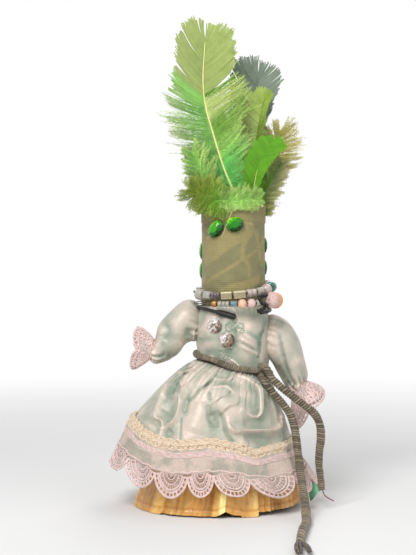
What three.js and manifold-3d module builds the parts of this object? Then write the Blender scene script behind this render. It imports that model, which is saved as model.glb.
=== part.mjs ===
// A handmade doll: a card tube wearing a damask head cloth, glass eyes, a feather plume, two strands of
// beads and a gathered satin dress with lace, gimp braid and a tied cord belt.
// Millimetres, +Z up. The doll faces -Y and stands with the middle of its base on the origin.
import * as THREE from "three";
import { mergeVertices } from "three/addons/utils/BufferGeometryUtils.js";
import Module from "manifold-3d";

const wasm = await Module();
wasm.setup();

// Clearances and cloth thicknesses
const SEAT_GAP = 0.35;
const SATIN = 0.9;
const LACE = 0.8;
const BRAID = 1.1;
const HEAD_CLOTH = 0.7;
const PETTICOAT_CLOTH = 0.8;

// Card tube, its base and the stuffing that grips the quills
const TUBE_R = 22;
const TUBE_WALL = 1.8;
const TUBE_TOP = 213;
const BASE_FLANGE = 3;
const BASE_SPIGOT = 12;
const PLUG_DEPTH = 40;
const PLUG_SINK = 1;
const QUILL_R = 1;
const QUILL_DEPTH = 24;

// Head cloth, eyes and side gems
const HEAD_BOTTOM = 140;
const HEAD_TOP = 215;
const EYE_LENGTH = 13;
const EYE_WIDTH = 10.5;
const EYE_DEPTH = 4;
const SIDE_GEM_LENGTH = 12;
const SIDE_GEM_WIDTH = 9;
const SIDE_GEM_DEPTH = 3;

// Waist seam and bodice. The seam slopes: it is higher on the doll's right, which is -X
const WAIST_Z = 101;
const WAIST_SLOPE = 0.26;
const WAIST_COLLAR = 3;
const NECK_Z = 142;
const BUST_FULLNESS = 2.4;

// Satin skirt, lace flounce and petticoat
const SKIRT_HEM = { x: -18.5, y: -1, across: 60.5, deep: 50, z: 43, lift: 11 };
const SKIRT_FLARE = 0.72;
const SKIRT_FOLD = 2.2;
const FLOUNCE_HEM = { x: -14.8, y: -1, across: 75, deep: 57, z: 16, lift: 13 };
const FLOUNCE_SCALLOP = 2.5;
const PETTICOAT_HEM = { x: -11.3, y: 0, across: 59.3, deep: 49.5, z: 0.4, lift: 0 };
const PETTICOAT_FLARE = 0.82;
const PETTICOAT_FOLD = 2.4;
const FOLDS = 10;
const SAMPLES_PER_FOLD = 4;
const GIMP_TOP = 0.74;
const GIMP_BOTTOM = 0.84;
const FLOUNCE_TOP = 0.9;
const RIBBON_TAIL_WIDTH = 10;
const RIBBON_TAIL_CLOTH = 0.8;
const RIBBON_TAIL_INSET = 1.5;
const RIBBON_TAIL_END = 3;

// Stuffed sleeves with lace cuffs
const PUFF_SINK = 2.2;
const WRIST_R = 6.6;
const PUFF_FULLNESS = 0.42;
const ARMHOLE_R = 8;
const CUFF_R = 14;
const CUFF_LENGTH = 15;
const CUFF_FOLD = 2.4;
const CUFF_FOLDS = 5;
const RIGHT_ARM = { puff: 16.5, z: 127, length: 21, out: 0.86, down: 0.5 };
const LEFT_ARM = { puff: 15.5, z: 118, length: 38, out: 0.27, down: 0.96 };

// Crystals sewn to the bodice
const CRYSTAL_R = 4.7;
const CRYSTAL_DEPTH = 3.4;

// Strung beads
const THREAD_R = 0.4;
const UPPER_LARGEST_R = 3.7;
const UPPER_PLAY = 0.8;
const UPPER_Z = 154.6;
const UPPER_LEAN = { x: 0.08, y: 0.137 };
const LOWER_BACK_R = 1.8;
const LOWER_FORWARD = 4.2;
const LOWER_ASIDE = 1.5;
const LOWER_Z = 145.6;
const LOWER_LEAN = { x: 0.02, y: 0.03 };

// Cord belt and black neck cord
const BELT_R = 2.15;
const TAIL_R = 3;
const TAIL_LIFT = 0.1;
const KNOT_ANGLE = -0.7;
const KNOT_R = 5;
const KNOT_LENGTH = 11;
const NECK_CORD_R = 1.15;
const NECK_CORD_TIP_R = 1.8;
const NECK_CORD_TIP_LENGTH = 14;

// Radii that follow from the stack of layers round the tube
const PLUG_R = TUBE_R - TUBE_WALL - SEAT_GAP;
const HEAD_R = TUBE_R + SEAT_GAP + HEAD_CLOTH;
const PETTICOAT_WAIST_R = TUBE_R + SEAT_GAP + PETTICOAT_CLOTH;
const SKIRT_WAIST_R = PETTICOAT_WAIST_R + SEAT_GAP + SATIN;
const NECK_R = HEAD_R + SEAT_GAP + SATIN;
const BUST_R = Math.max(NECK_R, SKIRT_WAIST_R) + BUST_FULLNESS;
const BELT_RING_R = Math.max(NECK_R, SKIRT_WAIST_R) + SEAT_GAP + BELT_R;

const AROUND = 32;
const CLOTH_AROUND = FOLDS * SAMPLES_PER_FOLD;
const DIAGONAL = Math.SQRT1_2;

const FINISHES = {
  card: { color: 0xb59a72, roughness: 0.9, metalness: 0 },
  stuffing: { color: 0xe8e4da, roughness: 1, metalness: 0 },
  damask: { color: 0x7d7a55, roughness: 0.8, metalness: 0 },
  green_glass: { color: 0x0f8a2c, roughness: 0.12, metalness: 0 },
  crystal: { color: 0xd8cfc6, roughness: 0.05, metalness: 0.3 },
  satin: { color: 0xb9c9ba, roughness: 0.35, metalness: 0 },
  gold_satin: { color: 0xc08a3e, roughness: 0.4, metalness: 0 },
  green_satin: { color: 0x58a878, roughness: 0.4, metalness: 0 },
  lace: { color: 0xe3c3c6, roughness: 0.9, metalness: 0 },
  gimp: { color: 0xe6d2b4, roughness: 0.7, metalness: 0 },
  twine: { color: 0x6f6753, roughness: 0.85, metalness: 0 },
  black_cord: { color: 0x15110f, roughness: 0.5, metalness: 0 },
  thread: { color: 0xcfc8ba, roughness: 0.8, metalness: 0 },
  grey_glass: { color: 0xa8a698, roughness: 0.25, metalness: 0 },
  purple_glass: { color: 0x6e5a63, roughness: 0.3, metalness: 0 },
  olive_glass: { color: 0x9a9670, roughness: 0.15, metalness: 0 },
  blue_glass: { color: 0x6796a6, roughness: 0.25, metalness: 0 },
  gold_bead: { color: 0xb98437, roughness: 0.25, metalness: 0.9 },
  peach_bead: { color: 0xe2b598, roughness: 0.35, metalness: 0 },
  pink_bead: { color: 0xe0c2c0, roughness: 0.35, metalness: 0 },
  orange_bead: { color: 0xe79a55, roughness: 0.35, metalness: 0 },
  lime_feather: { color: 0xa9bd6c, roughness: 0.75, metalness: 0 },
  mint_feather: { color: 0x6cc766, roughness: 0.75, metalness: 0 },
  green_feather: { color: 0x5ea51d, roughness: 0.75, metalness: 0 },
  olive_feather: { color: 0x8f9a36, roughness: 0.85, metalness: 0 },
  grey_feather: { color: 0x889a92, roughness: 0.75, metalness: 0 },
};

// Named meshes

function piece(name, finish, geometry) {
  const mesh = new THREE.Mesh(geometry, new THREE.MeshStandardMaterial(FINISHES[finish]));
  mesh.name = name;
  return mesh;
}

function group(...children) {
  const holder = new THREE.Group();
  children.forEach((child) => holder.add(child));
  return holder;
}

// Closed meshes and booleans

function signedVolume(points, faces) {
  let volume = 0;
  for (const [a, b, c] of faces) {
    volume += points[a].dot(new THREE.Vector3().crossVectors(points[b], points[c])) / 6;
  }
  return volume;
}

function closedMesh(points, faces) {
  const outward = signedVolume(points, faces) > 0;
  const order = outward ? faces : faces.map(([a, b, c]) => [a, c, b]);
  const geometry = new THREE.BufferGeometry().setFromPoints(points);
  geometry.setIndex(order.flat());
  geometry.computeVertexNormals();
  return geometry;
}

function wall(faces, from, to, count) {
  for (let i = 0; i < count; i++) {
    const next = (i + 1) % count;
    faces.push([from + i, from + next, to + next], [from + i, to + next, to + i]);
  }
}

function middle(ring) {
  return ring.reduce((sum, point) => sum.add(point), new THREE.Vector3()).divideScalar(ring.length);
}

// A solid through rings of equal length, closed by a fan at each end.
function loft(rings) {
  const count = rings[0].length;
  const points = rings.flat();
  const faces = [];
  const last = (rings.length - 1) * count;
  for (let row = 0; row < last; row += count) {
    wall(faces, row, row + count, count);
  }
  const startTip = points.push(middle(rings[0])) - 1;
  const endTip = points.push(middle(rings.at(-1))) - 1;
  for (let i = 0; i < count; i++) {
    const next = (i + 1) % count;
    faces.push([startTip, next, i], [endTip, last + i, last + next]);
  }
  return closedMesh(points, faces);
}

// A wall of cloth between two stacks of rings, open at both ends.
function shell(outer, inner) {
  const count = outer[0].length;
  const points = [...outer.flat(), ...inner.flat()];
  const faces = [];
  const last = (outer.length - 1) * count;
  const inside = outer.length * count;
  for (let row = 0; row < last; row += count) {
    wall(faces, row, row + count, count);
    wall(faces, inside + row + count, inside + row, count);
  }
  wall(faces, inside, 0, count);
  wall(faces, last, inside + last, count);
  return closedMesh(points, faces);
}

function toSolid(geometry) {
  const bare = geometry.clone();
  bare.deleteAttribute("normal");
  bare.deleteAttribute("uv");
  const merged = mergeVertices(bare, 1e-4);
  return new wasm.Manifold(
    new wasm.Mesh({
      numProp: 3,
      vertProperties: merged.attributes.position.array,
      triVerts: new Uint32Array(merged.index.array),
    }),
  );
}

function fromSolid(solid) {
  const mesh = solid.getMesh();
  const geometry = new THREE.BufferGeometry();
  geometry.setAttribute("position", new THREE.BufferAttribute(mesh.vertProperties, 3));
  geometry.setIndex(new THREE.BufferAttribute(mesh.triVerts, 1));
  geometry.computeVertexNormals();
  return geometry;
}

function cut(geometry, ...tools) {
  return fromSolid(tools.reduce((solid, tool) => solid.subtract(toSolid(tool)), toSolid(geometry)));
}

// Turned and swept shapes

// A profile of [radius, height] pairs turned about +Z.
function turned(profile, segments = AROUND) {
  const outline = profile.map(([radius, height]) => new THREE.Vector2(radius, height));
  return new THREE.LatheGeometry(outline, segments).rotateX(Math.PI / 2);
}

function turnedRing(innerR, outerR, low, high, segments = AROUND) {
  const profile = [[innerR, low], [outerR, low], [outerR, high], [innerR, high], [innerR, low]];
  return turned(profile, segments);
}

function cordAlong(points, radius, steps, sides = 8) {
  const section = new THREE.Shape();
  for (let i = 0; i < sides; i++) {
    const angle = (2 * Math.PI * i) / sides;
    section.lineTo(radius * Math.cos(angle), radius * Math.sin(angle));
  }
  const route = new THREE.CatmullRomCurve3(points.map((point) => new THREE.Vector3(...point)));
  return new THREE.ExtrudeGeometry(section, { steps, extrudePath: route, bevelEnabled: false });
}

function circle(count, place) {
  return Array.from({ length: count }, (_, i) => place((2 * Math.PI * i) / count));
}

// Core of the doll

function cardTube() {
  const low = BASE_FLANGE + SEAT_GAP;
  return piece("card_tube", "card", turnedRing(TUBE_R - TUBE_WALL, TUBE_R, low, TUBE_TOP));
}

function basePlug() {
  const spigotTop = BASE_FLANGE + BASE_SPIGOT;
  const profile = [
    [0, 0],
    [TUBE_R, 0],
    [TUBE_R, BASE_FLANGE],
    [PLUG_R, BASE_FLANGE],
    [PLUG_R, spigotTop],
    [0, spigotTop],
  ];
  return piece("base_plug", "card", turned(profile));
}

function headPlug() {
  const top = TUBE_TOP - PLUG_SINK;
  const profile = [[0, top - PLUG_DEPTH], [PLUG_R, top - PLUG_DEPTH], [PLUG_R, top], [0, top]];
  const holes = FEATHERS.map((feather) => {
    const [x, y] = quillSeat(feather);
    const depth = QUILL_DEPTH + SEAT_GAP;
    const hole = new THREE.CylinderGeometry(QUILL_R + SEAT_GAP, QUILL_R + SEAT_GAP, 2 * depth, 8);
    return hole.rotateX(Math.PI / 2).translate(x, y, top);
  });
  return piece("head_stuffing", "stuffing", cut(turned(profile, 24), ...holes));
}

function headCloth() {
  const cloth = turnedRing(HEAD_R - HEAD_CLOTH, HEAD_R, HEAD_BOTTOM, HEAD_TOP);
  return piece("head_cloth", "damask", cloth);
}

// A faceted stone with its flat back on the local XY plane and its table towards +Z.
function stone(length, width, depth, segments) {
  const half = width / 2;
  const profile = [
    [0, 0],
    [0.86 * half, 0],
    [half, 0.35 * depth],
    [0.62 * half, depth],
    [0, depth],
  ];
  return turned(profile, segments).scale(length / width, 1, 1);
}

// Sets a mesh against a round surface: angle 0 faces -Y, positive towards +X, and roll turns it in place.
function setOnRound(mesh, radius, angle, z, roll) {
  const holder = group(mesh);
  mesh.rotation.set(Math.PI / 2, 0, 0);
  mesh.rotateZ(roll);
  mesh.position.set(0, -radius - SEAT_GAP, 0);
  holder.rotation.z = angle;
  holder.position.z = z;
  return holder;
}

function eyes() {
  const places = { right: { angle: -0.56, z: 197, roll: 0.75 }, left: { angle: 0.03, z: 200, roll: 0.1 } };
  return Object.entries(places).map(([side, { angle, z, roll }]) => {
    const eye = piece(`${side}_eye`, "green_glass", stone(EYE_LENGTH, EYE_WIDTH, EYE_DEPTH, 12));
    return setOnRound(eye, HEAD_R, angle, z, roll);
  });
}

function sideGems() {
  const places = {
    right_upper: { angle: -1.66, z: 182 },
    right_lower: { angle: -1.7, z: 168 },
    left_upper: { angle: 1.62, z: 186 },
    left_lower: { angle: 1.68, z: 170 },
  };
  return Object.entries(places).map(([name, { angle, z }]) => {
    const shape = stone(SIDE_GEM_LENGTH, SIDE_GEM_WIDTH, SIDE_GEM_DEPTH, 10);
    return setOnRound(piece(`${name}_side_gem`, "green_glass", shape), HEAD_R, angle, z, Math.PI / 2);
  });
}

// Feathers. The seat is in shares of the stuffing's radius, and the tip is a place in the doll's frame.
// Bow bends the shaft sideways and upwards. Half is the widest half width, peak sets how far up it lies,
// and blunt how square the tip is.

const VANES = {
  tall_lime: { half: 21, peak: 1.8, blunt: 0.45 },
  front_mint: { half: 20, peak: 0.85, blunt: 0.55 },
  right_olive: { half: 9, peak: 1.2, blunt: 0.6 },
  left_green: { half: 10, peak: 1.6, blunt: 0.5 },
  left_grey_down: { half: 9, peak: 1, blunt: 0.6 },
  left_lime: { half: 11, peak: 1.8, blunt: 0.45 },
  right_pale_down: { half: 14, peak: 1, blunt: 0.55 },
  left_yellow_down: { half: 14, peak: 1.1, blunt: 0.55 },
  left_blue_grey: { half: 15, peak: 2.4, blunt: 0.35 },
  back_green_down: { half: 21, peak: 1, blunt: 0.55 },
};

const FEATHERS = [
  { name: "tall_lime", seat: [0.1, -0.44], tip: [-20, -13, 347], bow: [-9, 0], ...VANES.tall_lime },
  { name: "front_mint", seat: [0.2, -0.74], tip: [-2, -25, 268], bow: [4, 0], ...VANES.front_mint },
  { name: "right_olive", seat: [-0.52, -0.4], tip: [-42, -19, 238], bow: [6, 18], ...VANES.right_olive },
  { name: "left_green", seat: [0.5, -0.24], tip: [35, -9, 265], bow: [-3, 0], ...VANES.left_green },
  { name: "left_grey_down", seat: [0.8, -0.1], tip: [36, -4, 246], bow: [4, 0], ...VANES.left_grey_down },
  { name: "left_lime", seat: [0.4, 0.08], tip: [22, 2, 300], bow: [2, 0], ...VANES.left_lime },
  { name: "right_pale_down", seat: [-0.7, 0.2], tip: [-46, 7, 270], bow: [-6, 0], ...VANES.right_pale_down },
  { name: "left_yellow_down", seat: [0.72, 0.3], tip: [47, 9, 268], bow: [2, 0], ...VANES.left_yellow_down },
  { name: "left_blue_grey", seat: [0.25, 0.5], tip: [19, 13, 322], bow: [0, 0], ...VANES.left_blue_grey },
  { name: "back_green_down", seat: [-0.15, 0.76], tip: [-5, 24, 288], bow: [0, 0], ...VANES.back_green_down },
];

const FEATHER_FINISH = {
  tall_lime: "lime_feather",
  front_mint: "mint_feather",
  right_olive: "olive_feather",
  left_green: "green_feather",
  left_grey_down: "olive_feather",
  left_lime: "lime_feather",
  right_pale_down: "lime_feather",
  left_yellow_down: "olive_feather",
  left_blue_grey: "grey_feather",
  back_green_down: "green_feather",
};

const VANE_STATIONS = 9;
const VANE_EDGE = 0.25;
const BARE_QUILL = 5;

function quillSeat({ seat }) {
  return seat.map((share) => share * PLUG_R);
}

// Cross-section of a feather: a shaft in the middle and a thin vane on each side.
function vaneSection(centre, across, through, halfWidth) {
  const edge = Math.max(halfWidth, QUILL_R + VANE_EDGE);
  const outline = [
    [-edge, -VANE_EDGE],
    [-QUILL_R / 2, -QUILL_R],
    [QUILL_R / 2, -QUILL_R],
    [edge, -VANE_EDGE],
    [edge, VANE_EDGE],
    [QUILL_R / 2, QUILL_R],
    [-QUILL_R / 2, QUILL_R],
    [-edge, VANE_EDGE],
  ];
  return outline.map(([u, w]) => centre.clone().addScaledVector(across, u).addScaledVector(through, w));
}

function quillSection(centre) {
  return circle(8, (angle) => {
    const turn = angle + (9 * Math.PI) / 8;
    const offset = new THREE.Vector3(QUILL_R * Math.cos(turn), QUILL_R * Math.sin(turn), 0);
    return offset.add(centre);
  });
}

function feather(spec) {
  const [x, y] = quillSeat(spec);
  const plugTop = TUBE_TOP - PLUG_SINK;
  const root = new THREE.Vector3(x, y, plugTop + BARE_QUILL);
  const tip = new THREE.Vector3(...spec.tip);
  const bend = root.clone().lerp(tip, 0.5).add(new THREE.Vector3(spec.bow[0], 0, spec.bow[1]));
  const shaft = new THREE.QuadraticBezierCurve3(root, bend, tip);
  const rings = [
    quillSection(new THREE.Vector3(x, y, plugTop - QUILL_DEPTH)),
    quillSection(new THREE.Vector3(x, y, plugTop + BARE_QUILL / 2)),
  ];
  const forward = new THREE.Vector3(0, 1, 0);
  for (let i = 0; i <= VANE_STATIONS; i++) {
    const share = i / VANE_STATIONS;
    const tangent = shaft.getTangent(share);
    const across = new THREE.Vector3().crossVectors(forward, tangent).normalize();
    const through = new THREE.Vector3().crossVectors(tangent, across);
    const swell = Math.sin(Math.PI * share ** spec.peak) ** spec.blunt;
    rings.push(vaneSection(shaft.getPoint(share), across, through, spec.half * swell));
  }
  return piece(`${spec.name}_feather`, FEATHER_FINISH[spec.name], loft(rings));
}

// Dress

function waistHeight(x) {
  return WAIST_Z - WAIST_SLOPE * x;
}

// Height of a hem, raised on the doll's right side.
function hemHeight(hem, angle) {
  return hem.z + hem.lift * Math.max(0, -Math.cos(angle)) ** 2;
}

function hemPoint(hem, angle) {
  const x = hem.x + hem.across * Math.cos(angle);
  const y = hem.y + hem.deep * Math.sin(angle);
  return new THREE.Vector3(x, y, hemHeight(hem, angle));
}

// A point on a gathered bell of cloth. Share runs from 0 under the waist collar to 1 at the hem.
function bellPoint({ waistR, hem, flare, fold }, angle, share) {
  const waist = new THREE.Vector3(waistR * Math.cos(angle), waistR * Math.sin(angle), 0);
  waist.z = waistHeight(waist.x) - WAIST_COLLAR;
  const end = hemPoint(hem, angle);
  const out = share ** flare;
  const point = new THREE.Vector3(
    THREE.MathUtils.lerp(waist.x, end.x, out),
    THREE.MathUtils.lerp(waist.y, end.y, out),
    THREE.MathUtils.lerp(waist.z, end.z, share),
  );
  return point.addScaledVector(bellNormal(angle), fold * share * Math.cos(FOLDS * angle));
}

function bellNormal(angle) {
  return new THREE.Vector3(Math.cos(angle), Math.sin(angle), 0);
}

// Moves a point out of a sloping bell, along the diagonal between level and upright.
function offBell(point, angle, distance) {
  const out = bellNormal(angle).add(new THREE.Vector3(0, 0, 1)).normalize();
  return point.clone().addScaledVector(out, distance);
}

function clothRing(place, offset) {
  return circle(CLOTH_AROUND, (angle) => offBell(place(angle), angle, offset));
}

function clothLayer(places, offset, thickness) {
  const outer = places.map((place) => clothRing(place, offset));
  const inner = places.map((place) => clothRing(place, offset - thickness));
  return shell(outer, inner);
}

function collarPoint(waistR, angle) {
  const point = bellNormal(angle).multiplyScalar(waistR);
  point.z = waistHeight(point.x) - SEAT_GAP;
  return point;
}

const SKIRT = { waistR: SKIRT_WAIST_R, hem: SKIRT_HEM, flare: SKIRT_FLARE, fold: SKIRT_FOLD };
const PETTICOAT = {
  waistR: PETTICOAT_WAIST_R,
  hem: PETTICOAT_HEM,
  flare: PETTICOAT_FLARE,
  fold: PETTICOAT_FOLD,
};

function skirt() {
  const shares = [0, 0.08, 0.25, 0.5, 0.75, 1];
  const rows = shares.map((share) => (angle) => bellPoint(SKIRT, angle, share));
  const collar = (angle) => collarPoint(SKIRT_WAIST_R, angle);
  return piece("skirt", "satin", clothLayer([collar, ...rows], 0, SATIN));
}

function petticoat() {
  const shares = [0, 0.14, 0.4, 0.7, 1];
  const rows = shares.map((share) => (angle) => bellPoint(PETTICOAT, angle, share));
  const collar = (angle) => collarPoint(PETTICOAT_WAIST_R, angle);
  return piece("petticoat", "gold_satin", clothLayer([collar, ...rows], 0, PETTICOAT_CLOTH));
}

// Trim sewn flat on the skirt lies off it by its own thickness and the gap, measured along the diagonal.
const FLOUNCE_OFFSET = (SEAT_GAP + LACE) / DIAGONAL;
const GIMP_OFFSET = (SEAT_GAP + BRAID) / DIAGONAL;

function gimpBraid() {
  const rows = [GIMP_TOP, GIMP_BOTTOM].map((share) => (angle) => bellPoint(SKIRT, angle, share));
  return piece("gimp_braid", "gimp", clothLayer(rows, GIMP_OFFSET, BRAID));
}

function laceFlounce() {
  const onSkirt = [FLOUNCE_TOP, 1].map((share) => (angle) => bellPoint(SKIRT, angle, share));
  const below = [0.5, 1].map((share) => (angle) => {
    const start = bellPoint(SKIRT, angle, 1);
    const end = hemPoint(FLOUNCE_HEM, angle);
    const wave = Math.cos(FOLDS * angle);
    const scallop = Math.cos((CLOTH_AROUND / 2) * angle);
    end.addScaledVector(bellNormal(angle), SKIRT_FOLD * wave);
    end.z -= FLOUNCE_SCALLOP * scallop;
    return start.lerp(end, share);
  });
  return piece("lace_flounce", "lace", clothLayer([...onSkirt, ...below], FLOUNCE_OFFSET, LACE));
}

// A green ribbon end that hangs inside the lace on the doll's left and shows below it.
function ribbonTail() {
  const skirtEdge = bellPoint(SKIRT, 0, 1);
  const laceEdge = hemPoint(FLOUNCE_HEM, 0);
  laceEdge.x += SKIRT_FOLD;
  const inset = new THREE.Vector3(-RIBBON_TAIL_INSET - RIBBON_TAIL_CLOTH / 2, 0, 0);
  const route = [0.2, 0.6, 0.95].map((share) => skirtEdge.clone().lerp(laceEdge, share).add(inset));
  route.push(new THREE.Vector3(route.at(-1).x + 1, laceEdge.y, RIBBON_TAIL_END));
  const across = new THREE.Vector3(0, 1, 0);
  const rings = route.map((centre, row) => {
    const along = route[Math.min(row + 1, 3)].clone().sub(route[Math.max(row - 1, 0)]).normalize();
    const through = new THREE.Vector3().crossVectors(along, across);
    const corners = [[-1, -1], [1, -1], [1, 1], [-1, 1]];
    return corners.map(([u, w]) =>
      centre
        .clone()
        .addScaledVector(across, (u * RIBBON_TAIL_WIDTH) / 2)
        .addScaledVector(through, (w * RIBBON_TAIL_CLOTH) / 2),
    );
  });
  return piece("green_ribbon_end", "green_satin", loft(rings));
}

function bodiceRadius(share) {
  const seam = THREE.MathUtils.lerp(SKIRT_WAIST_R, NECK_R, share);
  return THREE.MathUtils.lerp(seam, BUST_R, Math.sin(Math.PI * share) ** 0.8);
}

function bodiceRing(share, inset) {
  return circle(AROUND, (angle) => {
    const radius = bodiceRadius(share) - inset;
    const point = bellNormal(angle).multiplyScalar(radius);
    point.z = THREE.MathUtils.lerp(waistHeight(point.x) + SEAT_GAP, NECK_Z, share);
    return point;
  });
}

function shoulder({ puff, z }, side) {
  return new THREE.Vector3(side * (BUST_R + puff - PUFF_SINK), 0, z);
}

function armhole(spec, side) {
  const ball = new THREE.SphereGeometry(spec.puff + SEAT_GAP, 24, 16);
  return ball.translate(...shoulder(spec, side));
}

function bodice() {
  const shares = [0, 0.18, 0.4, 0.62, 0.84, 1];
  const outer = shares.map((share) => bodiceRing(share, 0));
  const inner = shares.map((share) => bodiceRing(share, SATIN));
  const cloth = cut(shell(outer, inner), armhole(RIGHT_ARM, -1), armhole(LEFT_ARM, 1));
  return piece("bodice", "satin", cloth);
}

function crystals() {
  const places = { upper: { angle: -0.5, z: 129 }, lower: { angle: -0.17, z: 119.5 } };
  return Object.entries(places).map(([name, { angle, z }]) => {
    const shape = stone(2 * CRYSTAL_R, 2 * CRYSTAL_R, CRYSTAL_DEPTH, 12);
    return setOnRound(piece(`${name}_crystal`, "crystal", shape), BUST_R, angle, z, 0);
  });
}

// Sleeves: a puff round the shoulder that tapers to the wrist, along local +Z

const SLEEVE_AROUND = 16;

function sleeveRadius({ puff, length }, along) {
  if (along <= 0) {
    return Math.sqrt(Math.max(0, puff ** 2 - along ** 2));
  }
  const taper = 0.5 + 0.5 * Math.cos((Math.PI * along) / length);
  return WRIST_R + (puff - WRIST_R) * taper ** PUFF_FULLNESS;
}

function sleeveStations({ puff, length }) {
  const ball = [0.97, 0.82, 0.6, 0.3].map((share) => -share * puff);
  const taper = [0, 0.3, 0.56, 0.76, 0.9, 1].map((share) => share * length);
  return [...ball, ...taper];
}

function sleeveRing(along, radius) {
  return circle(SLEEVE_AROUND, (angle) => {
    return new THREE.Vector3(radius * Math.cos(angle), radius * Math.sin(angle), along);
  });
}

function sleeveSkin(spec) {
  const stations = sleeveStations(spec);
  const outer = stations.map((along) => sleeveRing(along, sleeveRadius(spec, along)));
  const inner = stations.map((along) => sleeveRing(along, sleeveRadius(spec, along) - SATIN));
  inner[0] = sleeveRing(stations[0] + SATIN / 2, sleeveRadius(spec, stations[0]) - SATIN);
  return shell(outer, inner);
}

function sleeveStuffing(spec) {
  const inset = SATIN + SEAT_GAP;
  const rings = sleeveStations(spec).slice(1).map((along) => {
    return sleeveRing(along, sleeveRadius(spec, along) - inset);
  });
  return loft(rings);
}

function cuffRing(share, inset, length) {
  return circle(CUFF_FOLDS * 4, (angle) => {
    const radius = THREE.MathUtils.lerp(WRIST_R, CUFF_R, share ** 0.7) - inset;
    const wave = CUFF_FOLD * share * Math.cos(CUFF_FOLDS * angle);
    const along = length + SEAT_GAP + CUFF_LENGTH * share;
    return new THREE.Vector3(
      (radius + wave) * Math.cos(angle),
      (radius + wave) * Math.sin(angle),
      along,
    );
  });
}

function cuff(length) {
  const shares = [0, 0.3, 0.65, 1];
  const outer = shares.map((share) => cuffRing(share, 0, length));
  const inner = shares.map((share) => cuffRing(share, LACE, length));
  return shell(outer, inner);
}

function arm(name, spec, side) {
  const direction = new THREE.Vector3(side * spec.out, 0, -spec.down).normalize();
  const turn = new THREE.Quaternion().setFromUnitVectors(new THREE.Vector3(0, 0, 1), direction);
  const toBody = new THREE.Vector3(-side, 0, 0).applyQuaternion(turn.clone().invert());
  const aim = new THREE.Quaternion().setFromUnitVectors(new THREE.Vector3(0, 1, 0), toBody);
  const opening = new THREE.CylinderGeometry(ARMHOLE_R, ARMHOLE_R, spec.puff, 12);
  opening.applyQuaternion(aim).translate(...toBody.clone().multiplyScalar(spec.puff));
  const holder = group(
    piece(`${name}_sleeve`, "satin", cut(sleeveSkin(spec), opening)),
    piece(`${name}_sleeve_stuffing`, "stuffing", sleeveStuffing(spec)),
    piece(`${name}_lace_cuff`, "lace", cuff(spec.length)),
  );
  holder.quaternion.copy(turn);
  holder.position.copy(shoulder(spec, side));
  return holder;
}

// Beads. Each lies on a ring of thread, and its bore leaves room for the thread's curve.

function boreRadius(length, ringR) {
  const curve = ringR - Math.sqrt(ringR ** 2 - (length / 2) ** 2);
  return THREAD_R + SEAT_GAP + curve;
}

function roundBead({ length, radius }, bore, segments) {
  const half = length / 2;
  const profile = [
    [bore, -half],
    [0.62 * radius, -0.92 * half],
    [radius, -0.36 * half],
    [radius, 0.36 * half],
    [0.62 * radius, 0.92 * half],
    [bore, half],
    [bore, -half],
  ];
  return turned(profile, segments);
}

function tubeBead({ length, radius }, bore, segments) {
  return turnedRing(bore, radius, -length / 2, length / 2, segments);
}

function squareBead({ length, radius }, bore) {
  const side = new THREE.Shape();
  side.moveTo(-radius, -radius).lineTo(radius, -radius).lineTo(radius, radius).lineTo(-radius, radius);
  side.holes.push(new THREE.Path().absarc(0, 0, bore, 0, 2 * Math.PI, true));
  const options = { depth: length, bevelEnabled: false, curveSegments: 8 };
  return new THREE.ExtrudeGeometry(side, options).translate(0, 0, -length / 2);
}

const BEAD_SHAPES = { round: roundBead, tube: tubeBead, square: squareBead };

// Turns a shape made along +Z so that it lies along a ring, at an angle from the front.
function layOnRing(shape, ringR, angle) {
  return shape.rotateY(Math.PI / 2).translate(0, -ringR, 0).rotateZ(angle);
}

function beadShape(bead, ringR, angle) {
  const shape = BEAD_SHAPES[bead.shape](bead, boreRadius(bead.length, ringR), 10);
  return layOnRing(shape, ringR, angle);
}

// Half the angle that a straight bead takes up on its ring, measured where its inner edge is tightest.
function halfAngle({ shape, length, radius }, ringR) {
  const endR = shape === "round" ? radius / 2 : radius;
  return Math.atan(length / 2 / (ringR - endR)) + SEAT_GAP / 2 / ringR;
}

function threadSection(ringR, angle, radius) {
  return circle(8, (turn) => {
    const reach = ringR + radius * Math.cos(turn);
    return new THREE.Vector3(reach * Math.sin(angle), -reach * Math.cos(angle), radius * Math.sin(turn));
  });
}

// A run of barrel beads pushed close together on the thread, bored from end to end.
function beadRun(ringR, from, to, { length, radius }) {
  const count = Math.round(((to - from) * ringR) / length);
  const stops = Array.from({ length: 2 * count + 1 }, (_, i) => i);
  const at = (i) => from + ((to - from) * i) / (2 * count);
  const outer = stops.map((i) => threadSection(ringR, at(i), i % 2 ? radius : 0.7 * radius));
  const inner = stops.map((i) => threadSection(ringR, at(i), THREAD_R + SEAT_GAP));
  return shell(outer, inner);
}

// A strand of beads: the named ones along the front, then a run of equal ones that fills the rest.
function strand(name, { ringR, startAngle, front, back, finish }) {
  const holder = group();
  const thread = new THREE.TorusGeometry(ringR, THREAD_R, 5, 32);
  holder.add(piece(`${name}_thread`, "thread", thread));
  let angle = startAngle;
  for (const bead of front) {
    angle += halfAngle(bead, ringR);
    holder.add(piece(`${bead.name}_bead`, bead.finish, beadShape(bead, ringR, angle)));
    angle += halfAngle(bead, ringR);
  }
  const end = startAngle + 2 * Math.PI;
  holder.add(piece(`${name}_back_beads`, finish, beadRun(ringR, angle, end - SEAT_GAP / ringR, back)));
  return holder;
}

// Leans a ring: the plane rises by x along +X and by y along +Y.
function leanRing(holder, lean) {
  const normal = new THREE.Vector3(-lean.x, -lean.y, 1).normalize();
  holder.quaternion.setFromUnitVectors(new THREE.Vector3(0, 0, 1), normal);
  return holder;
}

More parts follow.
